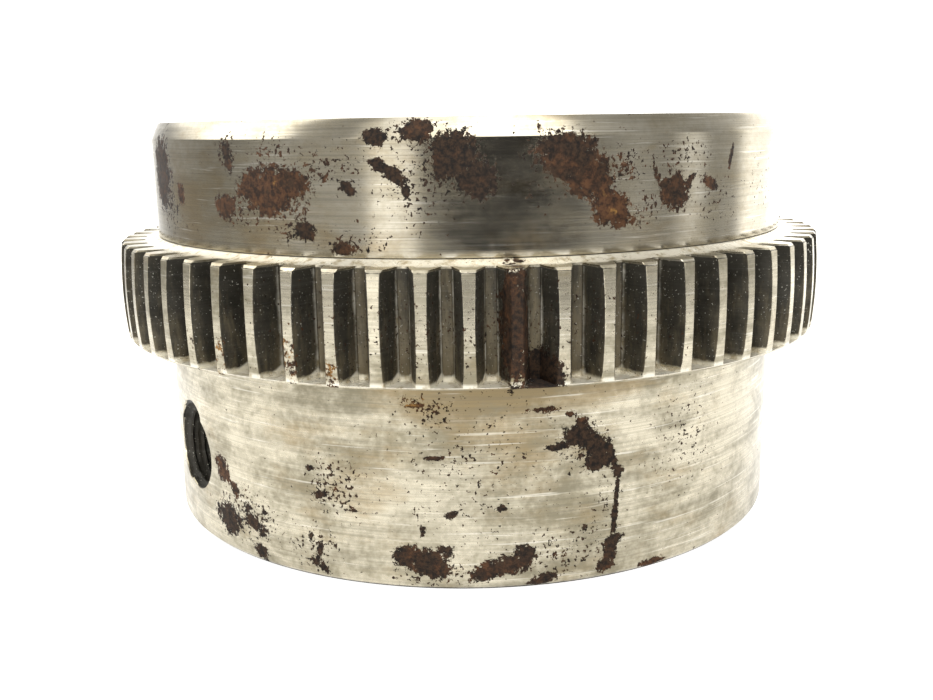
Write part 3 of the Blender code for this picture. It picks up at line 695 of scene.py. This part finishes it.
def inner_ring():
    """The inner ring and its flange, with all its holes."""
    outline = [
        (BORE_RADIUS + BORE_CHAMFER, INNER_FOOT),
        (INNER_WALL - INNER_RING_CHAMFER, INNER_FOOT),
        (INNER_WALL, INNER_FOOT + INNER_RING_CHAMFER),
        *raceway(-1),
        (INNER_WALL, FLANGE_BOTTOM),
        (FLANGE_RADIUS - FLANGE_LOWER_CHAMFER, FLANGE_BOTTOM),
        (FLANGE_RADIUS, FLANGE_BOTTOM + FLANGE_LOWER_CHAMFER),
        (FLANGE_RADIUS, TOTAL_HEIGHT - FLANGE_CHAMFER_HEIGHT),
        (FLANGE_RADIUS - FLANGE_CHAMFER_INSET, TOTAL_HEIGHT),
        (BORE_RADIUS + BORE_CHAMFER, TOTAL_HEIGHT),
        (BORE_RADIUS, TOTAL_HEIGHT - BORE_CHAMFER),
        (BORE_RADIUS, INNER_FOOT + BORE_CHAMFER),
    ]
    fine = dense(softened(outline, closed=True), closed=True)
    ring = turned("flanged_inner_ring", fine, FLANGE_SEGMENTS)
    cutters = []
    for i in range(FLANGE_BOLT_COUNT):
        mouth = (FLANGE_THREAD[1] + 2 * CORNER, 0.0)
        ends = (-FLANGE_BOLT_DEPTH, CUT_PAST)
        hole = thread_cutter(f"flange_hole_{i}", FLANGE_THREAD, *ends, mouth, FLANGE_HOLE_SEGMENTS)
        cutters.append(shift(hole, FLANGE_BOLT_CIRCLE, nth_azimuth(i, FLANGE_BOLT_COUNT), TOTAL_HEIGHT))
    radius = PLUG_RADIUS + PLUG_FIT
    filling_hole = [(radius, BORE_RADIUS - CUT_PAST), (radius, INNER_WALL + CUT_PAST)]
    filling = bar("filling", filling_hole, WIDE_HOLE_SEGMENTS)
    thread = NIPPLE_STUB_RADIUS + PIN_FIT
    floor = BORE_RADIUS + NIPPLE_STUB_LENGTH + PIN_FIT
    channel = [(thread, BORE_RADIUS - CUT_PAST), (thread, floor), (GREASE_CHANNEL_RADIUS, floor + CUT_PAST)]
    channel.append((GREASE_CHANNEL_RADIUS, INNER_WALL))
    for i in range(NIPPLE_COUNT):
        drilled = bar(f"channel_{i}", channel, CHANNEL_SEGMENTS)
        cutters.append(aim_outwards(drilled, nipple_azimuth(i), ROW_HEIGHT))
    carve(ring, cutters)
    carve(ring, [aim_outwards(filling, PLUG_AZIMUTH, ROW_HEIGHT)])
    carve(ring, [pin_hole("pin_hole", ROW_HEIGHT + PLUG_RADIUS, TOTAL_HEIGHT + CUT_PAST)])
    return ring


def ball_row():
    """Smooth balls with one shared mesh."""
    bm = bmesh.new()
    bmesh.ops.create_icosphere(bm, subdivisions=4, radius=BALL_RADIUS)
    mesh = bpy.data.meshes.new("bearing_ball")
    bm.to_mesh(mesh)
    bm.free()
    mesh.shade_smooth()
    row = []
    for i in range(BALL_COUNT):
        ball = add_object(f"bearing_ball_{i + 1:02d}", mesh)
        azimuth = nth_azimuth(i, BALL_COUNT)
        ball.location = direction(azimuth) * BALL_CIRCLE_RADIUS
        ball.location.z = ROW_HEIGHT
        ball.rotation_euler = (0.7 * i, 0.4 * i, azimuth)
        row.append(ball)
    return row


def cage():
    """A plain band with a round pocket for each ball."""
    low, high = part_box("ball_cage")
    inner = BALL_CIRCLE_RADIUS - CAGE_THICKNESS / 2
    outer = BALL_CIRCLE_RADIUS + CAGE_THICKNESS / 2
    outline = [(inner, low.z), (outer, low.z), (outer, high.z), (inner, high.z)]
    fine = dense(softened(outline, 3 * CORNER, closed=True), closed=True)
    band = turned("machined_ball_cage", fine, CAGE_SEGMENTS_PER_BALL * BALL_COUNT)
    cutters = []
    for i in range(BALL_COUNT):
        stations = [(POCKET_RADIUS, inner - CUT_PAST), (POCKET_RADIUS, outer + CUT_PAST)]
        pocket = bar(f"pocket_{i}", stations, ROUND_SEGMENTS)
        cutters.append(aim_outwards(pocket, nth_azimuth(i, BALL_COUNT), ROW_HEIGHT))
    carve(band, cutters)
    return band


def seals():
    """Both rubber rings, with rounded lips."""
    low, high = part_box("upper_seal")
    inner = UPPER_GROOVE_INNER + SEAL_FIT
    outer = UPPER_GROOVE_OUTER - SEAL_FIT
    outline = [(inner, low.z), (outer, low.z), (outer, TOP_LAND), (outer - SEAL_LIP, TOP_LAND)]
    outline += [(outer, high.z), (outer - SEAL_LIP, high.z)]
    outline += [(outer - 2 * SEAL_LIP, TOP_LAND), (inner, TOP_LAND)]
    upper = turned("upper_lip_seal", softened(outline, 2 * CORNER, closed=True), SEAL_SEGMENTS)
    low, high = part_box("lower_seal")
    outer = COUNTERBORE_RADIUS - SEAL_FIT
    body = OUTER_WALL + SEAL_FIT
    lip = INNER_WALL + SEAL_FIT
    outline = [(lip, low.z), (lip, low.z + SEAL_LIP), (body, low.z + 2 * SEAL_LIP), (body, high.z)]
    outline += [(outer, high.z), (outer, low.z), (body, low.z)]
    lower = turned("lower_lip_seal", softened(outline, 2 * CORNER, closed=True), SEAL_SEGMENTS)
    return upper, lower


def filling_plug():
    """A round plug: its outer end carries on the raceway, and the taper pin reaches into its side."""
    azimuths = even_azimuths(PLUG_SEGMENTS)
    back = BORE_RADIUS + PLUG_FIT
    loops = [loop_points(share * PLUG_RADIUS, azimuths, back) for share in (PLUG_CENTRE, 0.5, 0.95)]
    loops.append(loop_points(PLUG_RADIUS, azimuths, back + PLUG_EDGE))
    for share in (1.0, 0.9, 0.75, 0.5, 0.25, PLUG_CENTRE):
        loop = loop_points(share * PLUG_RADIUS, azimuths, 0.0)
        upwards = loop[:, 1]
        depth = np.sqrt(RACEWAY_RADIUS**2 - upwards**2)
        end_radius = np.minimum(BALL_CIRCLE_RADIUS - depth, INNER_WALL)
        loop[:, 2] = np.sqrt(end_radius**2 - loop[:, 0] ** 2)
        loops.append(loop)
    plug = skinned("round_filling_plug", loops, closed=False)
    outwards = direction(PLUG_AZIMUTH)
    upwards = Vector((0.0, 0.0, 1.0))
    turn = Matrix((upwards.cross(outwards), upwards, outwards)).transposed()
    plug.data.transform(Matrix.Translation((0.0, 0.0, ROW_HEIGHT)) @ turn.to_4x4())
    top = ROW_HEIGHT + PLUG_RADIUS
    carve(plug, [pin_hole("plug_pin_hole", top - PIN_ENGAGEMENT - PIN_FIT, top + CUT_PAST)])
    return plug


def pin():
    """The taper pin, with a chamfered top and the hole for the screw that draws it out."""
    low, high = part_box("taper_pin")
    tip = PIN_RADIUS - (high.z - low.z) * PIN_TAPER / 2
    stations = [(tip - PIN_FOOT_CHAMFER, low.z), (tip, low.z + PIN_FOOT_CHAMFER)]
    stations += [(PIN_RADIUS, high.z - PIN_TOP_CHAMFER), (PIN_RADIUS - PIN_TOP_CHAMFER, high.z)]
    stations.append((PIN_TAP_RADIUS + PIN_TAP_CHAMFER, high.z))
    stations += [(PIN_TAP_RADIUS, high.z - PIN_TAP_CHAMFER), (PIN_TAP_RADIUS, high.z - PIN_TAP_DEPTH)]
    return shift(bar("drawn_taper_pin", stations, ROUND_SEGMENTS), PIN_CIRCLE, PLUG_AZIMUTH, 0.0)


def hexagon(corner_radius, azimuths):
    """Radii of a hexagon with a corner at azimuth 0."""
    from_side = azimuths % (math.pi / 3) - math.pi / 6
    return corner_radius * math.cos(math.pi / 6) / np.cos(from_side)


def nipple(i):
    """A grease nipple: a rounded head with its ball valve's dimple, neck, hexagon and stub."""
    seat = BORE_RADIUS - NIPPLE_HEX_RADIUS**2 / (2 * BORE_RADIUS) - PIN_FIT
    neck = seat - NIPPLE_HEX_HEIGHT
    head = neck - NIPPLE_HEAD_LENGTH
    azimuths = even_azimuths(ROUND_SEGMENTS)
    loops = [loop_points(NIPPLE_VALVE_RADIUS, azimuths, head + NIPPLE_VALVE_DEPTH)]
    loops.append(loop_points(NIPPLE_VALVE_RIM, azimuths, head))
    for step in range(9):
        angle = math.radians(90 - 15 * step)
        radius = NIPPLE_CROWN_CENTRE + NIPPLE_CROWN_WIDTH * math.cos(angle)
        loops.append(loop_points(radius, azimuths, head + NIPPLE_CROWN_HEIGHT * (1 - math.sin(angle))))
    loops.append(loop_points(NIPPLE_NECK_RADIUS, azimuths, neck - NIPPLE_HEAD_LENGTH / 3))
    loops.append(loop_points(NIPPLE_NECK_RADIUS, azimuths, neck - CORNER))
    end_radius = NIPPLE_HEX_RADIUS - NIPPLE_HEX_BEVEL
    rings = [(end_radius, neck), (NIPPLE_HEX_RADIUS, neck + NIPPLE_HEX_BEVEL)]
    rings += [(NIPPLE_HEX_RADIUS, seat - NIPPLE_HEX_BEVEL), (end_radius, seat)]
    loops += [loop_points(hexagon(radius, azimuths), azimuths, z) for radius, z in rings]
    loops.append(loop_points(NIPPLE_STUB_RADIUS, azimuths, seat + CORNER))
    loops.append(loop_points(NIPPLE_STUB_RADIUS, azimuths, BORE_RADIUS + NIPPLE_STUB_LENGTH))
    body = skinned(f"greasing_nipple_{i + 1}", loops, closed=False)
    return aim_outwards(body, nipple_azimuth(i), ROW_HEIGHT)


# Wear, painted reflection and painted shade, as point attributes that the materials read


def closeness(azimuth, z, patch):
    """1 at a patch's middle, 0 on its outline, and less outside it."""
    patch_azimuth, height, across, up, lean = patch
    side = (azimuth - patch_azimuth + 180) % 360 - 180
    side = np.radians(side) * SKIRT_RADIUS / MM
    rise = z / MM - height
    turn = math.radians(lean)
    along = side * math.cos(turn) + rise * math.sin(turn)
    over = rise * math.cos(turn) - side * math.sin(turn)
    return 1 - np.sqrt((along / across) ** 2 + (over / up) ** 2)


def add_attribute(mesh, name, values):
    made = mesh.attributes.new(name, "FLOAT", "POINT")
    made.data.foreach_set("value", values.astype(np.float32))


def add_wear_and_reflection(thing, rust):
    """Attributes rust, tone, specks and the stains with their painted reflection, from the lists above, on
    the outer surfaces only.
    """
    mesh = thing.data
    points = np.zeros(len(mesh.vertices) * 3)
    mesh.vertices.foreach_get("co", points)
    points = points.reshape(-1, 3)
    azimuth = np.degrees(np.arctan2(points[:, 0], -points[:, 1]))
    radius = np.hypot(points[:, 0], points[:, 1])
    outside = radius > WORN_RADIUS
    scatter = random.Random(len(rust))
    heights = (points[:, 2].min(), points[:, 2].max())
    for _ in range(UNSEEN_PATCHES):
        spot = (scatter.uniform(*UNSEEN_AZIMUTHS), scatter.uniform(*heights) / MM)
        size = scatter.uniform(0.8, 5.0)
        shape = (size, size * scatter.uniform(0.3, 1.0), scatter.uniform(-40, 40), scatter.uniform(0, 0.6))
        rust = rust + [(*spot, *shape)]
    nearest = np.full(len(points), -1.0)
    tone = np.full(len(points), 0.3)
    for *patch, patch_tone in rust:
        share = closeness(azimuth, points[:, 2], patch)
        nearer = share > nearest
        nearest[nearer] = share[nearer]
        tone[nearer] = patch_tone
    specks = np.zeros(len(points))
    for *patch, density in SPECKS:
        share = closeness(azimuth, points[:, 2], (*patch, 0.0))
        specks = np.maximum(specks, density * np.clip(share, 0, 1) ** 0.7)
    # The stains are partly real stains and partly painted reflection: painted shade where positive, painted
    # highlight where negative.
    stain_and_reflection = np.zeros(len(points))
    for *patch, strength in STAINS_AND_REFLECTIONS:
        share = closeness(azimuth, points[:, 2], (*patch, 0.0))
        stain_and_reflection += strength * np.clip(share, 0, 1)
    add_attribute(mesh, "rust", np.where(outside, nearest, -1.0))
    add_attribute(mesh, "tone", tone)
    add_attribute(mesh, "specks", np.where(outside, specks, 0.0))
    add_attribute(mesh, "stain_and_reflection", np.where(outside, stain_and_reflection, 0.0))
    return points, radius


def add_grime_and_shade(thing, points, radius):
    """Attributes for darkening, painted shade and grease.

    The first says where the steel darkens: on the tooth flanks, and as painted shade inside the port and a
    painted shadow along the foot; the second says how black it is.
    Grease is pale and lies along the lip, the ledges and the tooth roots.
    """
    z = points[:, 2]
    in_gear = (z > LEDGE_TOP + FACE_MARGIN) & (z < GEAR_TOP - FACE_MARGIN)
    in_gear &= radius > ROOT_RADIUS - REACH_MARGIN
    depth = (tip_radius_at(z) - radius) / (tip_radius_at(z) - ROOT_RADIUS)
    outwards = direction(PORT_AZIMUTH)
    along = points[:, 0] * outwards.x + points[:, 1] * outwards.y
    aside = np.sqrt(np.maximum(radius**2 - along**2, 0.0))
    # Painted shade: the whole inside of the port is made black
    in_port = (along > 0) & (np.hypot(aside, z - PORT_HEIGHT) < PORT_MOUTH_RADIUS + PORT_LEAN + 1 * MM)
    in_port &= (radius < SKIRT_RADIUS - FACE_MARGIN) & (radius > OUTER_WALL)
    # Painted shadow: a black line along the chamfer at the foot, where the ring stands on the table
    foot = (z < 0.8 * SKIRT_CHAMFER) & (radius > SKIRT_RADIUS - SKIRT_CHAMFER - REACH_MARGIN)
    on_flanks = np.where(in_gear, np.clip(depth / 0.02, 0, 1), 0.0)
    add_attribute(thing.data, "grime_and_shade", np.where(in_port | foot, 1.0, on_flanks))
    darkening = np.interp(depth, *FLANK_DARKENING)
    darkening += np.clip((z - GEAR_MIDDLE) / GEAR_FACE, -0.5, 0.5) * FLANK_DARKENING_RISE
    add_attribute(thing.data, "darkening", np.where(in_port | foot, PAINTED_SHADE_DARKNESS, darkening))
    in_roots = np.where(in_gear, np.interp(depth, *GREASE_PROFILE), 0.0)
    ledge = (abs(z - LEDGE_TOP) < REACH_MARGIN / 2) & (radius > ROOT_RADIUS - REACH_MARGIN)
    lip = (z > GEAR_TOP - REACH_MARGIN) & (radius > FLANGE_RADIUS) & (radius < ROOT_RADIUS)
    add_attribute(thing.data, "grease", np.where(lip | ledge, 1.0, in_roots))


# Materials


class Nodes:
    """Short names for making and linking the nodes of one tree."""

    def __init__(self, tree):
        self.tree = tree

    def node(self, kind, **settings):
        made = self.tree.nodes.new(kind)
        for key, value in settings.items():
            setattr(made, key, value)
        return made

    def feed(self, socket, value):
        if isinstance(value, bpy.types.NodeSocket):
            self.tree.links.new(value, socket)
        else:
            socket.default_value = value

    def fill(self, node, **values):
        """Feed the sockets that have these names."""
        for name, value in values.items():
            self.feed(node.inputs[name], value)

    def maths(self, operation, a, b, clamp=False):
        made = self.node("ShaderNodeMath", operation=operation, use_clamp=clamp)
        self.feed(made.inputs[0], a)
        self.feed(made.inputs[1], b)
        return made.outputs[0]

    def scaled(self, value, factor):
        return self.maths("MULTIPLY", value, factor)

    def total(self, first, *others):
        for other in others:
            first = self.maths("ADD", first, other)
        return first

    def between(self, value, low, high, to_low=0.0, to_high=1.0):
        """A smooth step of value from low to high."""
        made = self.node("ShaderNodeMapRange", interpolation_type="SMOOTHSTEP")
        for socket, given in zip(made.inputs, (value, low, high, to_low, to_high)):
            self.feed(socket, given)
        return made.outputs["Result"]


class Shade(Nodes):
    """One material and the textures that it is made of."""

    def __init__(self, name, metallic=1.0):
        self.material = bpy.data.materials.new(name)
        self.material.use_nodes = True
        super().__init__(self.material.node_tree)
        self.shader = self.tree.nodes["Principled BSDF"]
        self.shader.inputs["Metallic"].default_value = metallic
        self.place = self.node("ShaderNodeTexCoord").outputs["Object"]

    def swing(self, noise, factor):
        """How far a noise is from its middle, scaled."""
        return self.scaled(self.maths("SUBTRACT", noise, 0.5), factor)

    def mix(self, share, a, b):
        made = self.node("ShaderNodeMix", data_type="RGBA")
        self.feed(made.inputs[0], share)
        self.feed(made.inputs[6], a if isinstance(a, bpy.types.NodeSocket) else (*a, 1.0))
        self.feed(made.inputs[7], b if isinstance(b, bpy.types.NodeSocket) else (*b, 1.0))
        return made.outputs[2]

    def noise(self, scale, detail=4.0, roughness=0.55, stretch=(1.0, 1.0, 1.0), distortion=0.0):
        """Fractal noise with scale in waves per metre, stretched along each axis."""
        mapping = self.node("ShaderNodeMapping")
        self.fill(mapping, Vector=self.place, Scale=stretch)
        made = self.node("ShaderNodeTexNoise")
        self.fill(made, Vector=mapping.outputs[0], Scale=scale, Detail=detail)
        self.fill(made, Roughness=roughness, Distortion=distortion)
        return made.outputs["Fac"]

    def attribute(self, name):
        return self.node("ShaderNodeAttribute", attribute_name=name).outputs["Fac"]

    def bump(self, height, distance, strength, below=None):
        made = self.node("ShaderNodeBump")
        self.fill(made, Height=height, Distance=distance, Strength=strength)
        if below is not None:
            self.fill(made, Normal=below)
        return made.outputs["Normal"]

    def finish(self, colour, roughness, **others):
        self.feed(self.shader.inputs["Base Color"], colour)
        self.fill(self.shader, Roughness=roughness, **others)
        return self.material


TURNING = (0.012, 0.012, 1.0)  # stretches noise into lines round the axis


def bare_steel(s, noises, colours, mottling, shine):
    """Colour and roughness of turned steel with stains and painted reflection, turning lines and scratches.
    """
    lines, blotches, flecks = noises
    wide_lines = s.noise(420, 4, 0.6, (0.05, 0.05, 1.0))
    # Painted reflection: the stains darken the steel, partly as real stains and partly as painted shade, and
    # where negative brighten it as a painted highlight.
    tarnish_and_reflection = s.scaled(s.attribute("stain_and_reflection"), 0.22)
    level = s.total(blotches, s.swing(wide_lines, 0.45), tarnish_and_reflection, s.swing(flecks, 0.35))
    colour = s.mix(s.between(level, 0.5 - mottling, 0.5 + mottling), *colours)
    yellow = s.between(s.total(s.noise(60, 5, 0.65, (1, 1, 2)), tarnish_and_reflection), 0.46, 0.78)
    colour = s.mix(s.scaled(yellow, 0.6), colour, YELLOWING)
    colour = s.mix(s.scaled(s.between(lines, 0.35, 0.7), 0.30), colour, TURNING_LINE)
    scratches = s.between(s.noise(1300, 3, 0.6, (0.03, 0.03, 1.0), 0.3), 0.60, 0.70)
    colour = s.mix(s.scaled(scratches, 0.45), colour, BRIGHT_SCRATCH)
    return colour, s.between(level, 0.2, 0.8, shine, shine + 0.12)


def gear_dirt_and_shade(s, noises, colour, roughness):
    """Soiling and painted shade and then grease over a colour and roughness, where the gear's attributes say
    so; the black in the port and along the foot is painted shade.
    """
    _, blotches, flecks = noises
    streaks = s.noise(420, 5, 0.7, (1.0, 1.0, 0.25))
    # Painted shade: where the darkening is deepest, in the port and along the foot, the olive turns black
    olive = s.between(s.total(streaks, s.scaled(s.attribute("darkening"), -0.34)), 0.10, 0.66)
    dust = s.between(s.noise(2300, 2, 0.5), 0.66, 0.74)
    dirt_and_shade_colour = s.mix(s.scaled(dust, 0.7), s.mix(olive, *DIRT_AND_SHADE), DUST)
    dirt_and_shade = s.between(s.total(s.attribute("grime_and_shade"), s.swing(flecks, 0.5)), 0.30, 0.62)
    colour = s.mix(s.scaled(dirt_and_shade, 0.93), colour, dirt_and_shade_colour)
    roughness = s.total(roughness, s.scaled(dirt_and_shade, 0.25))
    metallic = s.maths("SUBTRACT", 1.0, s.scaled(dirt_and_shade, 0.6))
    thick = s.between(s.total(s.attribute("grease"), s.swing(blotches, 0.6)), 0.5, 0.9)
    grease = s.mix(s.between(s.noise(420, 5, 0.65), 0.47, 0.70), *GREASE)
    colour = s.mix(s.scaled(thick, 0.75), colour, grease)
    metallic = s.maths("SUBTRACT", metallic, s.scaled(thick, 0.6), clamp=True)
    return colour, roughness, metallic


def rust_cover(s):
    """The rust's colour, and how far its patches and specks cover the steel."""
    edge = s.total(s.swing(s.noise(230, 3, 0.6), 1.5), s.swing(s.noise(1000, 6, 0.75), 2.6))
    rusty = s.between(s.total(s.attribute("rust"), edge), -0.16, 0.02)
    specks = s.total(s.noise(1100, 3, 0.62), s.scaled(s.attribute("specks"), 0.30))
    stray = s.between(s.noise(780, 2, 0.5), 0.735, 0.76)
    covered = s.maths("MAXIMUM", rusty, s.maths("MAXIMUM", s.between(specks, 0.71, 0.75), stray))
    warm = s.total(s.attribute("tone"), s.swing(s.noise(330, 6, 0.7), 1.9))
    brown = s.mix(s.between(s.noise(900, 5, 0.75), 0.38, 0.64), *BROWN_RUST)
    red = s.mix(s.between(s.noise(800, 5, 0.75), 0.38, 0.64), *RED_RUST)
    rust = s.mix(s.between(warm, 0.15, 0.60), brown, red)
    return s.mix(s.between(warm, 0.78, 1.1), rust, ORANGE_RUST), covered


def worn_steel(name, colours, mottling, shine, geared):
    """Turned steel with stains and painted reflection, rust patches, black specks and, on the gear, soiling,
    grease, darker tooth flanks and painted shade in the port and along the foot.
    """
    s = Shade(name)
    lines = s.noise(2600, 3, 0.6, TURNING)
    noises = (lines, s.noise(70, 7, 0.66, (1.0, 1.0, 1.5), 0.4), s.noise(700, 3, 0.6))
    colour, roughness = bare_steel(s, noises, colours, mottling, shine)
    metallic = 1.0
    if geared:
        colour, roughness, metallic = gear_dirt_and_shade(s, noises, colour, roughness)
    rust, covered = rust_cover(s)
    colour = s.mix(s.between(covered, 0.0, 0.5), colour, rust)
    crusted = s.between(covered, 0.5, 1.0)
    metallic = s.maths("MULTIPLY", metallic, s.maths("SUBTRACT", 1.0, crusted), clamp=True)
    roughness = s.maths("ADD", roughness, s.scaled(crusted, 0.5), clamp=True)
    turning = s.bump(lines, 0.012 * MM, 0.6)
    crust = s.maths("MULTIPLY", crusted, s.noise(1500, 4, 0.7))
    normal = s.bump(crust, 0.05 * MM, 0.6, turning)
    s.shader.inputs["Specular IOR Level"].default_value = 0.25
    s.shader.inputs["Anisotropic"].default_value = 0.65
    s.shader.inputs["Anisotropic Rotation"].default_value = 0.25
    s.fill(s.shader, Tangent=s.node("ShaderNodeTangent", direction_type="RADIAL", axis="Z").outputs[0])
    return s.finish(colour, roughness, Metallic=metallic, Normal=normal)


def ground_steel(name, colour, roughness):
    """Plain bright steel with faint wear."""
    s = Shade(name)
    wear = s.noise(400, 5, 0.65)
    marks = s.between(s.noise(1600, 2, 0.5, (1.0, 1.0, 0.2)), 0.6, 0.7)
    dark = tuple(0.62 * c for c in colour)
    shade = s.mix(s.between(wear, 0.35, 0.75), colour, dark)
    shade = s.mix(s.scaled(marks, 0.3), shade, STEEL_MARK)
    roughness = s.between(wear, 0.3, 0.8, roughness, roughness + 0.2)
    return s.finish(shade, roughness, Normal=s.bump(wear, 0.01 * MM, 0.5))


def cage_brass():
    s = Shade("machined_cage_brass")
    cloud = s.noise(120, 5, 0.6)
    lines = s.noise(2200, 2, 0.5, TURNING)
    shade = s.mix(s.between(cloud, 0.3, 0.75), *BRASS)
    shade = s.mix(s.scaled(s.between(lines, 0.45, 0.7), 0.3), shade, BRASS_LINE)
    roughness = s.between(cloud, 0.3, 0.8, 0.28, 0.5)
    return s.finish(shade, roughness, Normal=s.bump(lines, 0.01 * MM, 0.6))


def seal_rubber():
    s = Shade("nitrile_seal_rubber", 0.0)
    grain = s.noise(1400, 4, 0.6)
    bloom = s.between(s.noise(90, 5, 0.6), 0.45, 0.75)
    shade = s.mix(s.scaled(bloom, 0.5), *RUBBER)
    roughness = s.between(grain, 0.3, 0.7, 0.48, 0.68)
    return s.finish(shade, roughness, Normal=s.bump(grain, 0.05 * MM, 0.5))


def zinc_plating():
    s = Shade("yellow_zinc_plating")
    cloud = s.noise(300, 4, 0.6)
    shade = s.mix(s.between(cloud, 0.35, 0.7), *ZINC)
    roughness = s.between(cloud, 0.3, 0.7, 0.25, 0.4)
    return s.finish(shade, roughness, Normal=s.bump(cloud, 0.02 * MM, 0.4))


def dress(thing, finish, body, node):
    """Give a piece its material and body, and hide the node that it stands for."""
    thing.data.materials.clear()
    thing.data.materials.append(finish)
    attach(thing, body)
    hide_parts(node)


# Studio


def azimuth_ramp(s, share, stops):
    """Brightness at a share of the way round, from stops of (azimuth in degrees, brightness)."""
    ramp = s.node("ShaderNodeValToRGB")
    ramp.color_ramp.interpolation = "EASE"
    marks = ramp.color_ramp.elements
    while len(marks) < len(stops):
        marks.new(0.5)
    peak = max(level for _, level in stops)
    for mark, (azimuth, level) in zip(marks, stops):
        mark.position = (azimuth + 180) / 360
        mark.color = (level / peak, level / peak, level / peak, 1.0)
    s.feed(ramp.inputs[0], share)
    return s.scaled(ramp.outputs[0], peak)


def studio():
    """A pale room with soft windows and a dark side towards the viewer, and white behind the object."""
    world = bpy.data.worlds.new("studio")
    bpy.context.scene.world = world
    world.use_nodes = True
    world.node_tree.nodes.clear()
    s = Nodes(world.node_tree)

    def blend(share, a, b):
        return s.total(s.scaled(a, s.maths("SUBTRACT", 1.0, share)), s.scaled(b, share))

    def above(height, band):
        return s.between(height, *map(math.sin, band))

    axes = s.node("ShaderNodeSeparateXYZ")
    s.feed(axes.inputs[0], s.node("ShaderNodeTexCoord").outputs["Generated"])
    azimuth = s.maths("ARCTAN2", axes.outputs["X"], s.scaled(axes.outputs["Y"], -1.0))
    share = s.total(s.maths("DIVIDE", azimuth, 2 * math.pi), 0.5)
    height = axes.outputs["Z"]
    walls = azimuth_ramp(s, share, WALL_LIGHT)
    upper = azimuth_ramp(s, share, UPPER_LIGHT)
    light = blend(above(height, UPPER_BAND), walls, upper)
    light = blend(above(height, SKY_BAND), light, SKY_LIGHT)
    light = blend(s.node("ShaderNodeLightPath").outputs["Is Camera Ray"], light, BACKDROP_LIGHT)
    background = s.node("ShaderNodeBackground")
    background.inputs["Color"].default_value = LIGHT_TINT
    s.feed(background.inputs["Strength"], light)
    output = s.node("ShaderNodeOutputWorld")
    s.feed(output.inputs["Surface"], background.outputs[0])


def floor():
    """A plain white table under the object."""
    bm = bmesh.new()
    bmesh.ops.create_circle(bm, cap_ends=True, segments=FLOOR_SEGMENTS, radius=FLOOR_REACH)
    mesh = bpy.data.meshes.new("floor")
    bm.to_mesh(mesh)
    bm.free()
    table = add_object("floor", mesh)
    table.location.z = -FLOOR_DROP
    s = Shade("white_table", 0.0)
    mesh.materials.append(s.finish(s.mix(s.noise(9, 2), *TABLE_WHITE), 0.8))
    s.shader.inputs["Emission Color"].default_value = (1.0, 1.0, 1.0, 1.0)
    s.shader.inputs["Emission Strength"].default_value = FLOOR_GLOW


def camera():
    data = bpy.data.cameras.new("camera")
    data.sensor_width = CAMERA_SENSOR
    data.lens = CAMERA_LENS
    data.clip_start = 0.01
    data.clip_end = 20
    eye = bpy.data.objects.new("camera", data)
    bpy.context.scene.collection.objects.link(eye)
    turn = Matrix.Rotation(CAMERA_YAW, 4, "Z") @ Matrix.Rotation(math.pi / 2 - CAMERA_PITCH, 4, "X")
    eye.matrix_world = Matrix.Translation(CAMERA_PLACE) @ turn @ Matrix.Rotation(CAMERA_ROLL, 4, "Z")
    bpy.context.scene.camera = eye


def main():
    camera()
    studio()
    floor()
    bpy.context.scene.view_settings.view_transform = "Standard"

    ring = outer_ring()
    points, radius = add_wear_and_reflection(ring, SKIRT_RUST + GEAR_RUST)
    add_grime_and_shade(ring, points, radius)
    gear_finish = worn_steel("worn_gear_steel", GEAR_STEEL, mottling=0.22, shine=0.24, geared=True)
    dress(ring, gear_finish, "outer_ring", "outer_ring_gear")

    inner = inner_ring()
    add_wear_and_reflection(inner, FLANGE_RUST)
    flange_finish = worn_steel("worn_flange_steel", FLANGE_STEEL, mottling=0.28, shine=0.10, geared=False)
    dress(inner, flange_finish, "inner_ring", "inner_ring")

    ball_finish = ground_steel("polished_ball_steel", BALL_STEEL, 0.08)
    for i, ball in enumerate(ball_row()):
        dress(ball, ball_finish, "cage_and_balls", f"ball_{i + 1:02d}")
    dress(cage(), cage_brass(), "cage_and_balls", "ball_cage")
    upper, lower = seals()
    rubber = seal_rubber()
    dress(upper, rubber, "outer_ring", "upper_seal")
    dress(lower, rubber, "outer_ring", "lower_seal")
    plug_finish = ground_steel("ground_plug_steel", PLUG_STEEL, 0.28)
    dress(filling_plug(), plug_finish, "inner_ring", "ball_filling_plug")
    pin_finish = ground_steel("ground_pin_steel", PIN_STEEL, 0.22)
    dress(pin(), pin_finish, "inner_ring", "taper_pin")
    plating = zinc_plating()
    for i in range(NIPPLE_COUNT):
        dress(nipple(i), plating, "inner_ring", f"grease_nipple_{i + 1}")


main()
